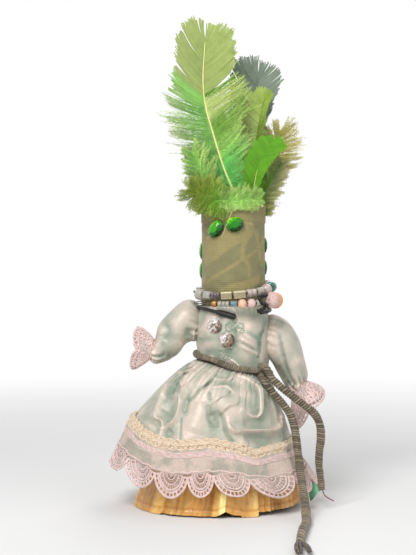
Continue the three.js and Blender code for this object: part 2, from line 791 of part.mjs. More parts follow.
const UPPER_RING_R = HEAD_R + UPPER_PLAY + UPPER_LARGEST_R;
const UPPER_FRONT = [
  { name: "grey_round", shape: "round", length: 7.6, radius: UPPER_LARGEST_R, finish: "grey_glass" },
  { name: "grey_tube", shape: "tube", length: 6.4, radius: 3, finish: "grey_glass" },
  { name: "purple_seed", shape: "round", length: 6.2, radius: 2.2, finish: "purple_glass" },
  { name: "olive_square", shape: "square", length: 7.6, radius: 2.1, finish: "olive_glass" },
  { name: "olive_long_square", shape: "square", length: 8.4, radius: 2.1, finish: "olive_glass" },
  { name: "pale_tube", shape: "tube", length: 7.2, radius: 2.9, finish: "grey_glass" },
  { name: "clear_tube", shape: "tube", length: 5.6, radius: 2.8, finish: "grey_glass" },
  { name: "grey_large_round", shape: "round", length: 8, radius: UPPER_LARGEST_R, finish: "grey_glass" },
];

function upperStrand() {
  const holder = strand("upper_strand", {
    ringR: UPPER_RING_R,
    startAngle: -1.17,
    front: UPPER_FRONT,
    back: { length: 9, radius: 2.8 },
    finish: "grey_glass",
  });
  holder.position.z = UPPER_Z;
  return leanRing(holder, UPPER_LEAN);
}

const LOWER_RING_R = HEAD_R + SEAT_GAP + LOWER_BACK_R + LOWER_FORWARD;
const LOWER_FRONT = [
  { name: "gold", shape: "round", length: 4.6, radius: 2.4, finish: "gold_bead" },
  { name: "grey_small_tube", shape: "tube", length: 8.2, radius: 2, finish: "grey_glass" },
  { name: "blue", shape: "tube", length: 4.4, radius: 2.1, finish: "blue_glass" },
  { name: "peach", shape: "round", length: 6, radius: 3.2, finish: "peach_bead" },
  { name: "pink", shape: "round", length: 6, radius: 3.2, finish: "pink_bead" },
  { name: "dark_grey", shape: "round", length: 5.4, radius: 2.4, finish: "purple_glass" },
  { name: "large_pink", shape: "round", length: 9, radius: 5, finish: "pink_bead" },
  { name: "large_orange", shape: "round", length: 8, radius: 5, finish: "orange_bead" },
];

function lowerStrand() {
  const holder = strand("lower_strand", {
    ringR: LOWER_RING_R,
    startAngle: -0.63,
    front: LOWER_FRONT,
    back: { length: 9, radius: LOWER_BACK_R },
    finish: "grey_glass",
  });
  holder.position.set(LOWER_ASIDE, -LOWER_FORWARD, LOWER_Z);
  return leanRing(holder, LOWER_LEAN);
}

// Black cord round the neckline, with its tip on the chest. Angle 0 faces -Y, positive towards +X.
// Out is the clear distance from the neckline, and drop is measured down from its edge.

const NECK_CORD_STOPS = [
  { angle: -0.44, out: 3, drop: 3.1 },
  { angle: -0.56, out: 3, drop: 2.4 },
  { angle: -0.82, out: 2, drop: 1.2 },
  { angle: -1.25, out: 0.9, drop: 0.4 },
  { angle: -1.72, out: 0.8, drop: 0.2 },
  { angle: -2.2, out: 0.8, drop: 0.2 },
  { angle: -2.7, out: 0.8, drop: 0.2 },
  { angle: -3.2, out: 0.8, drop: 0.2 },
  { angle: -3.7, out: 0.9, drop: 0.4 },
  { angle: -4.2, out: 1.1, drop: 1 },
  { angle: -4.7, out: 1.2, drop: 2 },
  { angle: -5.1, out: 1.4, drop: 3.2 },
  { angle: -5.5, out: 1.6, drop: 4 },
];

function neckCordRoute() {
  return NECK_CORD_STOPS.map(({ angle, out, drop }) => {
    const reach = NECK_R + NECK_CORD_R + out;
    return [reach * Math.sin(angle), -reach * Math.cos(angle), NECK_Z - drop];
  });
}

function neckCord() {
  const route = neckCordRoute();
  const end = new THREE.Vector3(...route[0]);
  const direction = new THREE.Vector3(0.95, -0.16, -0.26).normalize();
  const tip = new THREE.CylinderGeometry(NECK_CORD_TIP_R, NECK_CORD_TIP_R, NECK_CORD_TIP_LENGTH, 10);
  const aim = new THREE.Quaternion().setFromUnitVectors(new THREE.Vector3(0, 1, 0), direction);
  const centre = end.addScaledVector(direction, NECK_CORD_TIP_LENGTH / 2 + 2 * SEAT_GAP);
  tip.applyQuaternion(aim).translate(...centre);
  return [
    piece("black_neck_cord", "black_cord", cordAlong(route, NECK_CORD_R, 28)),
    piece("black_cord_tip", "black_cord", tip),
  ];
}

// Cord belt: a loop round the waist, a knot and two wrapped tails

function beltPoint(angle, radius) {
  const point = bellNormal(angle).multiplyScalar(radius);
  point.z = waistHeight(point.x);
  return point;
}

const KNOT_CENTRE_R = BELT_RING_R - BELT_R + KNOT_R;

function beltLoop() {
  const clear = (KNOT_R + SEAT_GAP) / BELT_RING_R;
  const sweep = 2 * Math.PI - 2 * clear;
  const stops = 20;
  const route = Array.from({ length: stops + 1 }, (_, i) => {
    return beltPoint(KNOT_ANGLE + clear + (sweep * i) / stops, BELT_RING_R).toArray();
  });
  return piece("belt_loop", "twine", cordAlong(route, BELT_R, 30));
}

function beltKnot() {
  const half = KNOT_LENGTH / 2;
  const profile = [
    [0, -half],
    [0.7 * KNOT_R, -0.8 * half],
    [KNOT_R, -0.3 * half],
    [KNOT_R, 0.3 * half],
    [0.7 * KNOT_R, 0.8 * half],
    [0, half],
  ];
  const knot = piece("belt_knot", "twine", turned(profile, 12));
  knot.position.copy(beltPoint(KNOT_ANGLE, KNOT_CENTRE_R));
  return knot;
}

// The first stop of each tail is measured from the middle of the knot, the others from the origin.
const SHORT_TAIL_EXIT = [4.4, -4.1, -3.4];
const SHORT_TAIL_STOPS = [
  [34, -24.8, 85.6],
  [41, -24.6, 80],
  [49, -24, 74],
  [56.5, -23.4, 67.6],
  [60.2, -23, 60],
  [61, -23, 51],
  [60, -23, 42],
  [59.6, -23, 33],
  [60.6, -23, 24],
  [61.8, -23, 14.5],
];

const LONG_TAIL_EXIT = [1.4, -2.4, -9];
const LONG_TAIL_STOPS = [
  [29, -21.8, 80.6],
  [34.4, -21.4, 74.4],
  [40, -20.8, 66],
  [43, -21.6, 55.6],
  [44.8, -28, 38.3],
  [46.3, -40, 21.5],
  [47.6, -50.5, 9.6],
  [47.2, -62, 4.2],
  [46.2, -74, TAIL_R + TAIL_LIFT],
  [42.5, -95, TAIL_R + TAIL_LIFT],
  [39, -115, TAIL_R + TAIL_LIFT],
  [36, -138, TAIL_R + TAIL_LIFT],
  [34, -162, TAIL_R + TAIL_LIFT],
];

function tailRoute(exit, stops) {
  const knot = beltPoint(KNOT_ANGLE, KNOT_CENTRE_R);
  return [new THREE.Vector3(...exit).add(knot).toArray(), ...stops];
}

function beltTails() {
  const shortRoute = tailRoute(SHORT_TAIL_EXIT, SHORT_TAIL_STOPS);
  const longRoute = tailRoute(LONG_TAIL_EXIT, LONG_TAIL_STOPS);
  return [
    piece("belt_short_tail", "twine", cordAlong(shortRoute, TAIL_R, 18)),
    piece("belt_long_tail", "twine", cordAlong(longRoute, TAIL_R, 30)),
  ];
}

const doll = group(
  cardTube(),
  basePlug(),
  headPlug(),
  headCloth(),
  ...eyes(),
  ...sideGems(),
  ...FEATHERS.map(feather),
  petticoat(),
  skirt(),
  gimpBraid(),
  laceFlounce(),
  ribbonTail(),
  bodice(),
  ...crystals(),
  arm("right", RIGHT_ARM, -1),
  arm("left", LEFT_ARM, 1),
  upperStrand(),
  lowerStrand(),
  ...neckCord(),
  beltLoop(),
  beltKnot(),
  ...beltTails(),
);

export default doll;
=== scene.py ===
"""Feather-topped cloth doll: the looks of its cloth, lace, cords, beads and plume around the solid part."""

import math

import bmesh
import bpy
import numpy as np
from mathutils import Matrix, Vector


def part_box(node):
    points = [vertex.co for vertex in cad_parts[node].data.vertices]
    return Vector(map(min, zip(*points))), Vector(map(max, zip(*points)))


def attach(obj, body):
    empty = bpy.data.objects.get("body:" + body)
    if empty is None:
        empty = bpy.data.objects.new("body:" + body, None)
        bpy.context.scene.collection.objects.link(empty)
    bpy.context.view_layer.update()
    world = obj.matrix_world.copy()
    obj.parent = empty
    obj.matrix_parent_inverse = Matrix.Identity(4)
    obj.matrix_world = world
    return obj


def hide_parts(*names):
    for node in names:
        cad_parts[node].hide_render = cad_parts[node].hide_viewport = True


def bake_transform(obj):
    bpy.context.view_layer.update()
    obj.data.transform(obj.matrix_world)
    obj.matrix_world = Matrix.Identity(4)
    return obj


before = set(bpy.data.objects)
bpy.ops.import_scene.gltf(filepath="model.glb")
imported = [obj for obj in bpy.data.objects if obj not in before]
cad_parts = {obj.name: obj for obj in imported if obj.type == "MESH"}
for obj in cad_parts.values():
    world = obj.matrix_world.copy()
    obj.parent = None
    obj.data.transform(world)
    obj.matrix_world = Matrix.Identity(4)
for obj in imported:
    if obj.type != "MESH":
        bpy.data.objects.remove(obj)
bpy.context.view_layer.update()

bl_info = {
    "name": "Feather-topped Doll",
    "version": (1, 0, 0),
    "blender": (4, 5, 0),
    "location": "View3D > Sidebar > Doll",
    "description": "Builds the cloth, lace, cords, beads and feathers of a handmade doll",
    "category": "Add Mesh",
}

MM = 0.001
WHITE = (1, 1, 1, 1)
# Points of a mesh closer than this are sewn together, in metres; a hole of up to so many edges is closed.
SEAM = 0.00002
WIDEST_HOLE = 200

# The camera stands level in front of the doll, so the front view is drawn on the plane of the tube's axis.
EYE = (-18.0, -800.0, 162.9)
LENS = 72.07
SENSOR = 36
FAR_CLIP = 60
# The stage, in metres: the floor turns white between two distances from the doll.
FLOOR_R = 20
FLOOR_FADE = (0.2, 1.1)
LAMP_AIM = (-0.01, 0, 0.15)

# Sizes of the head and neck
HEAD_R = 23.05
HEAD_CLOTH_R = 22.5
HEAD_FOOT = 140.0
HEAD_TOP = 215.0
HEAD_BAND = 202.0
HEAD_LAP = 5.86
DAMASK_MOTIFS = 3
SIDE_STONE_R = 22.4
NECK_R = 24.3
NECK_Z = 142.0
NECK_CORD_R = 1.15
BUST_R = 26.8

# Sizes of the dress and belt
WAIST_Z = 101.0
WAIST_SLOPE = 0.26
BELT_R = 26.9
BELT_LOOP_R = 2.1
KNOT_R = 2.6
KNOT_ANGLE = -0.62
# A winding's relief as a share of the cord's radius, and the faces along a winding and round a cord
WINDING_RIDGE = 0.26
WINDING_ROWS = 7
CORD_COLUMNS = 20
BODICE_TUCK = 1.5
BODICE_TOP = NECK_Z + 0.6
SKIRT_TUCK = 3.0
SKIRT_WAIST_R = 24.4
SKIRT_FLARE = 0.72
# Soft swellings of the front as drawn on the front view: middle, half-widths across and up, and height
BUST = (((-14.5, 120), (8.5, 9.5), 3.0), ((11.5, 120), (8.5, 9.5), 3.0))
POUF = (((4, 72), (20, 16), 4.5),)
SKIRT_HEM = {"x": -18.5, "y": -1.0, "across": 60.5, "deep": 50.0, "z": 43.0, "lift": 11.0}
FLOUNCE_HEM = {"x": -14.8, "y": -1.0, "across": 75.0, "deep": 57.0, "z": 16.0, "lift": 13.0}
PETTICOAT_WAIST_R = 23.15
PETTICOAT_FLARE = 0.82
PETTICOAT_HEM = {"x": -11.3, "y": 0.0, "across": 59.3, "deep": 49.5, "z": 0.4, "lift": 0.0}
# How high the petticoat's hem hangs off the ground, and how tightly it is gathered, by the angle round the
# doll (0 is its left side, -pi/2 its front); the angles of its tucks; and how far down its seam lies.
PETTICOAT_LIFT = (
    (-3.1416, 0.0), (-2.3, 0.0), (-2.28, 0.9), (-1.6, 0.9), (-1.49, 4.3), (-1.4, 1.8), (-1.3, 1.2),
    (-1.29, 0.0), (-1.1, 0.0), (-1.085, 2.6), (-0.3, 3.0), (0.2, 1.6), (1.57, 0.8), (3.1416, 0.0),
)
PETTICOAT_GATHERS = (
    (-3.1416, 0.6), (-2.8, 0.35), (-2.3, 0.3), (-2.2, 0.9), (-1.9, 0.6), (-1.75, 1.1), (-1.6, 0.9),
    (-1.45, 0.4), (-1.15, 0.4), (-1.05, 1.4), (-0.4, 1.4), (0.2, 1.0), (3.1416, 0.6),
)
PETTICOAT_TUCKS = (-2.28, -1.49, -1.085)
PETTICOAT_SEAM = 0.957

# How far down the skirt the braid lies, by the same angle
BRAID_LINE = (
    (-3.1416, 0.82), (-2.8, 0.85), (-2.49, 0.9), (-2.18, 0.935), (-1.94, 0.92), (-1.575, 0.86),
    (-1.26, 0.915), (-1.03, 1.015), (-0.74, 0.97), (-0.28, 0.96), (0.2, 0.92), (0.8, 0.88), (1.57, 0.9),
    (2.3, 0.87), (3.1416, 0.82),
)
# How far the lace hangs, as a share of the way to its hem, by the same angle
LACE_REACH = (
    (-3.1416, 0.98), (-2.73, 0.93), (-2.28, 1.04), (-1.97, 1.1), (-1.65, 0.98), (-1.37, 0.98), (-1.18, 1.05),
    (-0.71, 1.1), (-0.3, 1.02), (0.3, 1.0), (1.0, 0.97), (1.57, 1.02), (2.2, 0.98), (3.1416, 0.98),
)

# Folds and sheen of the satin as drawn on the front view: height, how light (up to 1) or dark (down to -1),
# half-width, and the line along it.
SKIRT_FOLDS = (
    (0.8, 0.85, 7.5, ((-23, 74), (-25, 61), (-28, 50))),
    (0.4, 0.7, 4, ((-27, 97), (-31, 88), (-34, 82))),
    (0.5, 0.6, 3, ((-20, 96), (-23, 89), (-28, 84))),
    (-1.2, -0.6, 6, ((-44, 78), (-45, 70), (-48, 64))),
    (-0.8, -0.4, 3.5, ((-57, 78), (-60, 71), (-64, 65))),
    (-0.8, -0.75, 2.5, ((-41, 93), (-44, 85), (-47, 78))),
    (0.7, 0.85, 2, ((-40, 97), (-48, 91), (-56, 84), (-63, 77), (-66, 66))),
    (1.1, 0.9, 2, ((-47, 90), (-49, 84), (-52, 76), (-57, 64))),
    (-0.7, -0.55, 2, ((-64, 62), (-59, 60), (-54, 57), (-54, 52))),
    (-0.7, -0.6, 3, ((-44, 53), (-48, 49))),
    (-0.8, -0.75, 2, ((-32, 77), (-34, 71), (-35, 65))),
    (-0.6, -0.9, 2, ((-38, 97), (-32, 103))),
    (-0.5, -0.9, 1.7, ((-38.5, 85), (-38.5, 80))),
    (0.5, 0.7, 2.5, ((-40, 77), (-39, 74))),
    (0.5, 0.65, 2.7, ((-61, 58), (-57, 54))),
    (-0.8, -0.6, 2, ((-18, 72), (-17, 63), (-16, 57))),
    (2, 1, 1.5, ((-28, 103), (-34, 94), (-36, 87), (-37, 78), (-40, 63), (-44, 57), (-50, 54), (-53, 49))),
    (1.1, 1, 1, ((-57, 65), (-55.5, 62), (-52, 60.5), (-50.5, 58), (-51, 54), (-52.5, 50))),
    (-1, -0.95, 1, ((-32, 101), (-36, 93), (-40, 87), (-43, 80))),
    (-0.6, -0.8, 0.6, ((-37, 62), (-38, 45))),
    (-0.8, -0.75, 0.9, ((-15.5, 89), (-19.5, 85), (-24, 82), (-28, 77), (-32, 74))),
    (0.5, 0.8, 1.4, ((-40.5, 95.5), (-38, 94.5))),
    (1.4, 0.85, 8.5, ((-10, 75), (-4, 66))),
    (-1.2, -0.55, 5.5, ((6, 58), (16, 59), (27, 60))),
    (-1.4, -0.6, 4, ((6, 48), (16, 47), (26, 46), (36, 50))),
    (-0.8, -0.5, 5, ((7, 72), (13, 71), (15, 67))),
    (-0.8, -0.75, 3.5, ((24, 69), (25, 74), (26, 79))),
    (-1.4, -0.75, 3.5, ((-15, 66), (-13, 60), (-13, 54))),
    (0.6, 0.6, 3.5, ((4, 89), (8, 87))),
    (0.4, 0.6, 3, ((5.5, 80), (10, 78))),
    (0.4, 0.6, 3.5, ((4, 67), (8.5, 65))),
    (-0.7, -0.7, 3, ((-9, 87), (-3, 87), (3, 84))),
    (-0.5, -0.7, 2.5, ((-3, 80), (-2, 78.5))),
    (-0.5, -0.65, 2.5, ((11.5, 85.5), (15, 81))),
    (1, 0.85, 3, ((36, 66), (35, 60))),
    (0.8, 0.85, 3, ((5.5, 45), (11.5, 42))),
    (-0.8, -0.7, 1.4, ((-10, 66), (-7, 60), (-5, 52), (-1, 45), (4, 40))),
    (-0.8, -0.9, 0.9, ((-10, 96), (-15, 89), (-20, 84.5))),
    (-0.4, -0.8, 1.3, ((-17, 80), (-16.5, 74))),
    (0.7, 0.9, 0.7, ((-13, 90), (-4, 89), (-0.5, 91.5))),
    (0.6, 0.9, 0.7, ((-14, 84), (-5, 84.5), (0, 80.5))),
    (1.4, 1, 0.8, ((4, 92), (11, 89.5), (17, 86), (19.5, 81), (20, 67), (18.5, 63), (15.5, 62),
                   (11.5, 64.5))),
    (1.9, 1, 1.3, ((-4, 61), (-3, 55), (2, 51), (7, 52.5), (26, 53), (32, 54), (34, 57), (34.5, 63))),
)
BODICE_FOLDS = (
    (-0.3, -0.75, 4, ((9.5, 137), (17.5, 136), (24, 131))),
    (-0.3, -0.8, 3.5, ((-0.5, 109), (4, 104.5), (9.5, 101), (15.5, 102))),
    (0.3, 0.9, 3.5, ((8.5, 129), (14.5, 129), (17, 126))),
    (0.2, 0.7, 3, ((-21, 114), (-14, 114.5))),
    (-0.3, -0.8, 3, ((-19, 108.5), (-13, 109.5))),
    (-0.3, -0.75, 2.3, ((-26.5, 123), (-25.5, 118.5), (-16, 119))),
    (0.5, 0.9, 1.8, ((-11, 136), (-18, 131), (-23, 125), (-23.5, 121.5))),
    (-0.5, -0.6, 1.9, ((1.5, 127), (2, 118), (1.5, 114))),
    (0.2, 0.5, 2.8, ((4.5, 107), (11, 103))),
    (0.6, 0.8, 1.2, ((4.5, 125), (10.5, 120), (17, 115))),
    (-0.5, -0.6, 1.1, ((11, 123.5), (18, 118.5))),
    (0.6, 0.8, 1.1, ((4.5, 119.5), (12, 114.5), (18.5, 112))),
    (-0.4, -0.5, 0.9, ((6.5, 115.5), (14.5, 111.5))),
    (0.6, 0.85, 1.2, ((5.5, 114), (12, 110), (19, 107.5))),
    (-0.4, -0.7, 1.2, ((23, 132), (21.5, 126), (19, 120), (18, 112))),
    (0.4, 0.8, 0.7, ((1, 140), (4.5, 132))),
    (0.6, 1, 0.6, ((-2.5, 104.5), (1.5, 101.5), (6, 97))),
    (0.4, 0.9, 0.7, ((-19.5, 105), (-15, 106), (-13.5, 103.5))),
)
RIGHT_SLEEVE_FOLDS = (
    (0.6, 0.8, 7, ((-30, 142), (-34, 133.5), (-40, 127.5), (-42, 118))),
    (-0.8, -0.75, 2.8, ((-48, 129.5), (-46.5, 123.5), (-49.5, 116))),
    (-0.4, -0.5, 3.2, ((-45.5, 137.5), (-50, 132))),
    (0.6, 0.6, 2.4, ((-52, 127.5), (-52, 121))),
    (-0.7, -0.7, 2.4, ((-32, 126), (-32, 119.5))),
    (0.5, 0.6, 2, ((-36, 116), (-38.5, 111.5))),
    (-0.5, -0.6, 2.5, ((-42, 107.5), (-48.5, 105.5), (-52.5, 103.5))),
    (-0.4, -0.7, 1.5, ((-29.5, 147), (-25, 143))),
    (0.6, 0.9, 1, ((-31.5, 149), (-29, 149), (-26, 146.5), (-22.5, 141.5))),
    (-0.2, -0.6, 5, ((-44, 120), (-48.5, 112), (-50.5, 106))),
    (0.6, 0.9, 1.7, ((-54, 116.5), (-57, 110.5), (-56, 104))),
    (0.3, 0.9, 0.6, ((-28, 125.5), (-28.5, 118))),
)
LEFT_SLEEVE_FOLDS = (
    (0.6, 0.9, 5.5, ((25.5, 126), (24, 113.5), (28.5, 106.5))),
    (-0.5, -0.35, 3.5, ((45, 120), (45.5, 109))),
    (0.3, 0.8, 4, ((30.5, 124), (31.5, 113))),
    (-0.6, -0.6, 4.7, ((30, 99), (37, 87.5))),
    (-0.4, -0.5, 3, ((29, 132.5), (37, 129.5))),
    (0.4, 0.6, 3.5, ((34, 119), (37, 105.5))),
    (-1, -0.8, 1.5, ((33.5, 121.5), (37, 102), (41.5, 88.5))),
    (0.4, 0.85, 3, ((44.5, 101), (49.5, 103.5))),
    (0.4, 0.8, 1.2, ((36, 133.5), (43.5, 128), (49.5, 115.5), (52, 104.5))),
    (0.4, 0.9, 2.2, ((43.5, 82), (49.5, 85.5))),
)
HEAD_FOLDS = (
    (0.5, 0, 0.7, ((6.5, 201.5), (16.5, 200.5), (21, 199.5))),
    (0.5, 0, 0.6, ((19, 198), (18, 193.5), (21, 189), (20, 184.5), (19.5, 176.5), (21.5, 169.5))),
    (0.4, 0, 0.9, ((-22, 190), (-15, 191), (-6, 194.5))),
    (-0.4, 0, 0.8, ((-17, 189), (-18, 182.5))),
    (0.3, 0, 2, ((-20, 164), (-6, 160), (10, 164))),
)

# Sleeves as rings from armhole to wrist: outer point (x, z), inner point (x, z), half-depth.
RIGHT_SLEEVE_RINGS = (
    ((-22.5, 141.5), (-24.5, 117.0), 10.0), ((-26.5, 147.0), (-27.0, 116.0), 13.0),
    ((-30.5, 149.0), (-31.5, 115.7), 14.5), ((-36.0, 147.0), (-35.2, 113.6), 16.0),
    ((-41.0, 143.6), (-37.5, 108.5), 16.5), ((-46.0, 138.8), (-42.0, 105.0), 16.0),
    ((-50.5, 134.0), (-48.0, 102.2), 15.0), ((-53.6, 129.8), (-53.0, 100.6), 13.0),
    ((-54.8, 126.0), (-56.5, 99.9), 11.0), ((-55.0, 121.5), (-58.8, 100.6), 9.0),
    ((-55.6, 117.6), (-60.2, 103.4), 7.0),
)
LEFT_SLEEVE_RINGS = (
    ((25.0, 138.0), (19.0, 108.0), 11.0), ((31.0, 136.6), (21.6, 106.7), 14.0),
    ((37.0, 134.2), (24.5, 104.0), 15.5), ((41.6, 130.4), (27.1, 101.3), 16.0),
    ((45.4, 124.6), (29.0, 98.5), 16.0), ((48.3, 119.0), (31.0, 94.5), 15.5),
    ((50.4, 111.8), (33.5, 90.4), 14.5), ((52.2, 104.0), (36.0, 86.4), 13.0),
    ((53.5, 98.0), (39.0, 83.0), 11.5), ((54.0, 93.0), (41.5, 80.0), 9.5),
    ((52.0, 88.6), (42.4, 78.0), 6.8),
)

# Cord routes: the knot, and the tails from the knot to the bare end. Radii and spacings are spread along.
KNOT_TURNS = (
    (28.0, -23.0, 90.6), (25.4, -23.6, 94.6), (23.0, -22.8, 99.2), (20.0, -19.4, 100.2), (18.2, -17.4, 96.0),
    (19.4, -21.6, 92.4), (21.8, -23.2, 89.6), (24.6, -21.6, 85.6),
)
SHORT_TAIL = (
    (27.15, -23.27, 91.68), (34, -24.8, 85.6), (41, -24.6, 80), (49, -24, 74), (56.5, -23.4, 67.6),
    (60.2, -23, 60), (61, -23, 51), (60, -23, 42), (59.6, -23, 33), (60.6, -23, 24), (61.8, -23, 14.5),
)
SHORT_TAIL_R = (2.7, 2.9, 2.9, 3.0, 3.0, 2.8, 2.4)
SHORT_TAIL_SPACING = (1.25, 1.2, 1.05, 1.0, 1.0)
LONG_TAIL = (
    (24.15, -21.57, 86.08), (29, -21.8, 80.6), (34.4, -21.4, 74.4), (40, -20.8, 66), (43, -21.6, 55.6),
    (44.8, -28, 38.3), (46.3, -40, 21.5), (47.6, -50.5, 9.6), (47.2, -62, 4.2), (46.2, -74, 3.1),
    (42.5, -95, 3.1), (39.4, -115, 3.1), (37.2, -133, 3.1),
)
LONG_TAIL_R = (2.7, 2.9, 3.0, 3.05, 3.1, 3.1, 3.1, 2.7)
LONG_TAIL_SPACING = (1.4, 1.15, 1.0, 1.05, 2.6, 4.2, 4.5)
# The red thread from the end of the short tail, and the two locks of the long tail's fray: how far aside and
# ahead they lie, and their thickness.
RED_THREAD = ((0, 0, 2), (1.2, -1, -3), (4.4, -2, -5.6), (8.0, -2.5, -7.4))
FRAY_LOCKS = ((-2.2, -23.0, 2.1), (4.4, -19.0, 1.5))
# The black cord round the neck, as angle from the front, stand-off and drop, and its thick tip, measured
# from its first point, with its radius by share of its length
NECK_CORD = (
    (-0.44, 3, 3.1), (-0.56, 3, 2.4), (-0.82, 2, 1.2), (-1.25, 0.9, 0.4), (-1.72, 0.8, 0.2), (-2.2, 0.8, 0.2),
    (-2.7, 0.8, 0.2), (-3.2, 0.8, 0.2), (-3.7, 0.9, 0.4), (-4.2, 1.1, 1), (-4.7, 1.2, 2), (-5.1, 1.4, 3.2),
    (-5.5, 1.6, 4),
)
NECK_TIP = ((0, 0, 0), (6.5, -0.9, -1.6), (13.3, -2.2, -3.7))
NECK_TIP_R = ((0, 0.15, 0.9, 1), (1.4, 2.1, 2.2, 1.5))

# Damask figure on the front of the head: half-width and line, as length round the tube and height.
DAMASK_FIGURE = (
    (6.5, ((-27.5, 185), (-16.5, 187), (-7.5, 190.5), (2, 192.5), (11.5, 196.5))),
    (4.5, ((-26, 175), (-16.5, 179.5), (-8.5, 185), (-1, 189))),
    (1.2, ((-24, 160), (-10.5, 166), (0, 171.5), (8, 176), (22, 182))),
    (2.2, ((7.5, 176), (7.5, 181.5), (9, 187), (11, 190.5))),
    (1.5, ((8, 176.5), (11.5, 173), (13.5, 169.5), (13, 164.5))),
    (3.2, ((-10, 153), (1, 155.5), (11.5, 158), (25, 162))),
    (2.0, ((21, 194), (23, 187), (25.5, 178), (27, 172.5))),
)


def srgb(red, green, blue):
    """A screen colour of 0 to 255 as the linear colour a shader takes."""
    shares = np.array([red, green, blue]) / 255
    return tuple(np.where(shares < 0.04045, shares / 12.92, ((shares + 0.055) / 1.055) ** 2.4).tolist())


def with_alpha(colour):
    return (*tuple(colour)[:3], 1.0)


def shaded(colour, share, lift=0.0):
    """A colour made darker or lighter, alike or by a share for each of red, green and blue."""
    return tuple(np.minimum(np.array(tuple(colour)[:3]) * share + lift, 1.0).tolist())


# Lines and surfaces


def read_line(line, places, at):
    """A line whose own points lie at the given places, read at other places."""
    return np.stack([np.interp(at, places, line[:, i]) for i in range(line.shape[1])], -1)


def smooth_line(stops, count):
    """A smooth line through the stops, with evenly spaced points."""
    stops = np.asarray(stops, float)
    ends = np.vstack([2 * stops[0] - stops[1], stops, 2 * stops[-1] - stops[-2]])
    step = np.linspace(0, 1, 24, endpoint=False)[:, None]
    runs = []
    for a, b, c, d in zip(ends, ends[1:], ends[2:], ends[3:]):
        runs.append(0.5 * (2 * b + (c - a) * step + (2 * a - 5 * b + 4 * c - d) * step**2
                           + (3 * b - a - 3 * c + d) * step**3))
    line = np.vstack([*runs, stops[-1:]])
    far = np.r_[0, np.cumsum(np.linalg.norm(np.diff(line, axis=0), axis=1))]
    return read_line(line, far, np.linspace(0, far[-1], count))


def spread_over(values, count):
    """One value, or a few spread evenly, over a count of points."""
    values = np.atleast_1d(np.asarray(values, float))
    return np.interp(np.linspace(0, 1, count), np.linspace(0, 1, len(values)), values)


def unit(vectors):
    return vectors / np.maximum(np.linalg.norm(vectors, axis=-1, keepdims=True), 1e-9)


def line_frames(line):
    """Directions along and across a line, without twist."""
    along = unit(np.gradient(line, axis=0))
    side = np.empty_like(line)
    start = np.cross(along[0], (0.0, 1.0, 0.0))
    if np.linalg.norm(start) < 0.1:
        start = np.cross(along[0], (1.0, 0.0, 0.0))
    side[0] = unit(start)
    for i in range(1, len(line)):
        side[i] = unit(side[i - 1] - along[i] * np.dot(side[i - 1], along[i]))
    return along, side, np.cross(along, side)


def line_length(line):
    return float(np.linalg.norm(np.diff(line, axis=0), axis=1).sum())


def wrapped(theta):
    """An angle brought to between -pi and pi."""
    return (np.asarray(theta) + math.pi) % (2 * math.pi) - math.pi


def round_doll(across):
    """The angle round the doll of a cloth that closes at the back."""
    return across * 2 * math.pi + math.pi / 2


def by_angle(table, theta):
    angles, values = zip(*table)
    return np.interp(wrapped(theta), angles, values)


def ease(value, low, high):
    share = np.clip((value - low) / (high - low), 0, 1)
    return share * share * (3 - 2 * share)


def hill(far, width):
    """1 in the middle, falling away smoothly over a width."""
    return np.exp(-((far / width) ** 2))


def waist_height(x):
    return WAIST_Z - WAIST_SLOPE * x


def ripple(theta, height, seed, waves, reach):
    """Uneven folds round a gathered cloth, of about one unit."""
    chance = np.random.default_rng(seed)
    total = np.zeros_like(theta)
    for count in waves:
        phase, lean = chance.uniform(0, 6.28), chance.uniform(-reach, reach)
        total += chance.uniform(0.5, 1.0) * np.cos(count * theta + phase + lean * height)
    return total / math.sqrt(len(waves))


def ring_point(theta, reach=1.0, height=0.0):
    """A point round the tube's axis."""
    return np.stack([reach * np.cos(theta), reach * np.sin(theta), height + 0 * theta], -1)


def hem_point(theta, hem):
    """A point of an oval hem that rises towards the doll's right."""
    return np.stack([
        hem["x"] + hem["across"] * np.cos(theta),
        hem["y"] + hem["deep"] * np.sin(theta),
        hem["z"] + hem["lift"] * np.maximum(0, -np.cos(theta)) ** 2,
    ], -1)


def bell(theta, share, waist_r, hem, flare):
    """A point of a gathered skirt, from its waist at share 0 to its hem at share 1."""
    waist = ring_point(theta, waist_r, waist_height(waist_r * np.cos(theta)) - SKIRT_TUCK)
    run = hem_point(theta, hem) - waist
    share = share[..., None]
    return waist + run * np.concatenate([share**flare, share**flare, share], -1)


def normals(points):
    """Outward directions of a surface given as rows and columns of points."""
    down = np.gradient(points, axis=0)
    around = np.gradient(points, axis=1)
    return unit(np.cross(around, -down))


def front_view(points):
    """Where points show on the plane of the tube's axis."""
    share = -EYE[1] / (points[..., 1] - EYE[1])
    return EYE[0] + (points[..., 0] - EYE[0]) * share, EYE[2] + (points[..., 2] - EYE[2]) * share


def from_stroke(across, up, line, count=15):
    """How far each place of a flat view lies from a drawn line, and how far along the line."""
    line = smooth_line(line, count)
    far = np.full(across.shape, 1e6)
    place = np.zeros(across.shape)
    for i, (a, b) in enumerate(zip(line, line[1:])):
        run = b - a
        t = np.clip(((across - a[0]) * run[0] + (up - a[1]) * run[1]) / (run @ run), 0, 1)
        gap = np.hypot(across - a[0] - t * run[0], up - a[1] - t * run[1])
        nearer = gap < far
        far = np.where(nearer, gap, far)
        place = np.where(nearer, (i + t) / (len(line) - 1), place)
    return far, place


def fold_lift(points, folds, outward):
    """How far the drawn folds raise the front of a cloth."""
    across, up = front_view(points)
    lift = np.zeros(across.shape)
    for height, _, width, line in folds:
        far, place = from_stroke(across, up, line)
        fade = np.clip(np.minimum(place, 1 - place) / 0.18, 0.12, 1)
        lift += height * fade * hill(far, width)
    return lift * ease(-outward[..., 1], 0.1, 0.5)


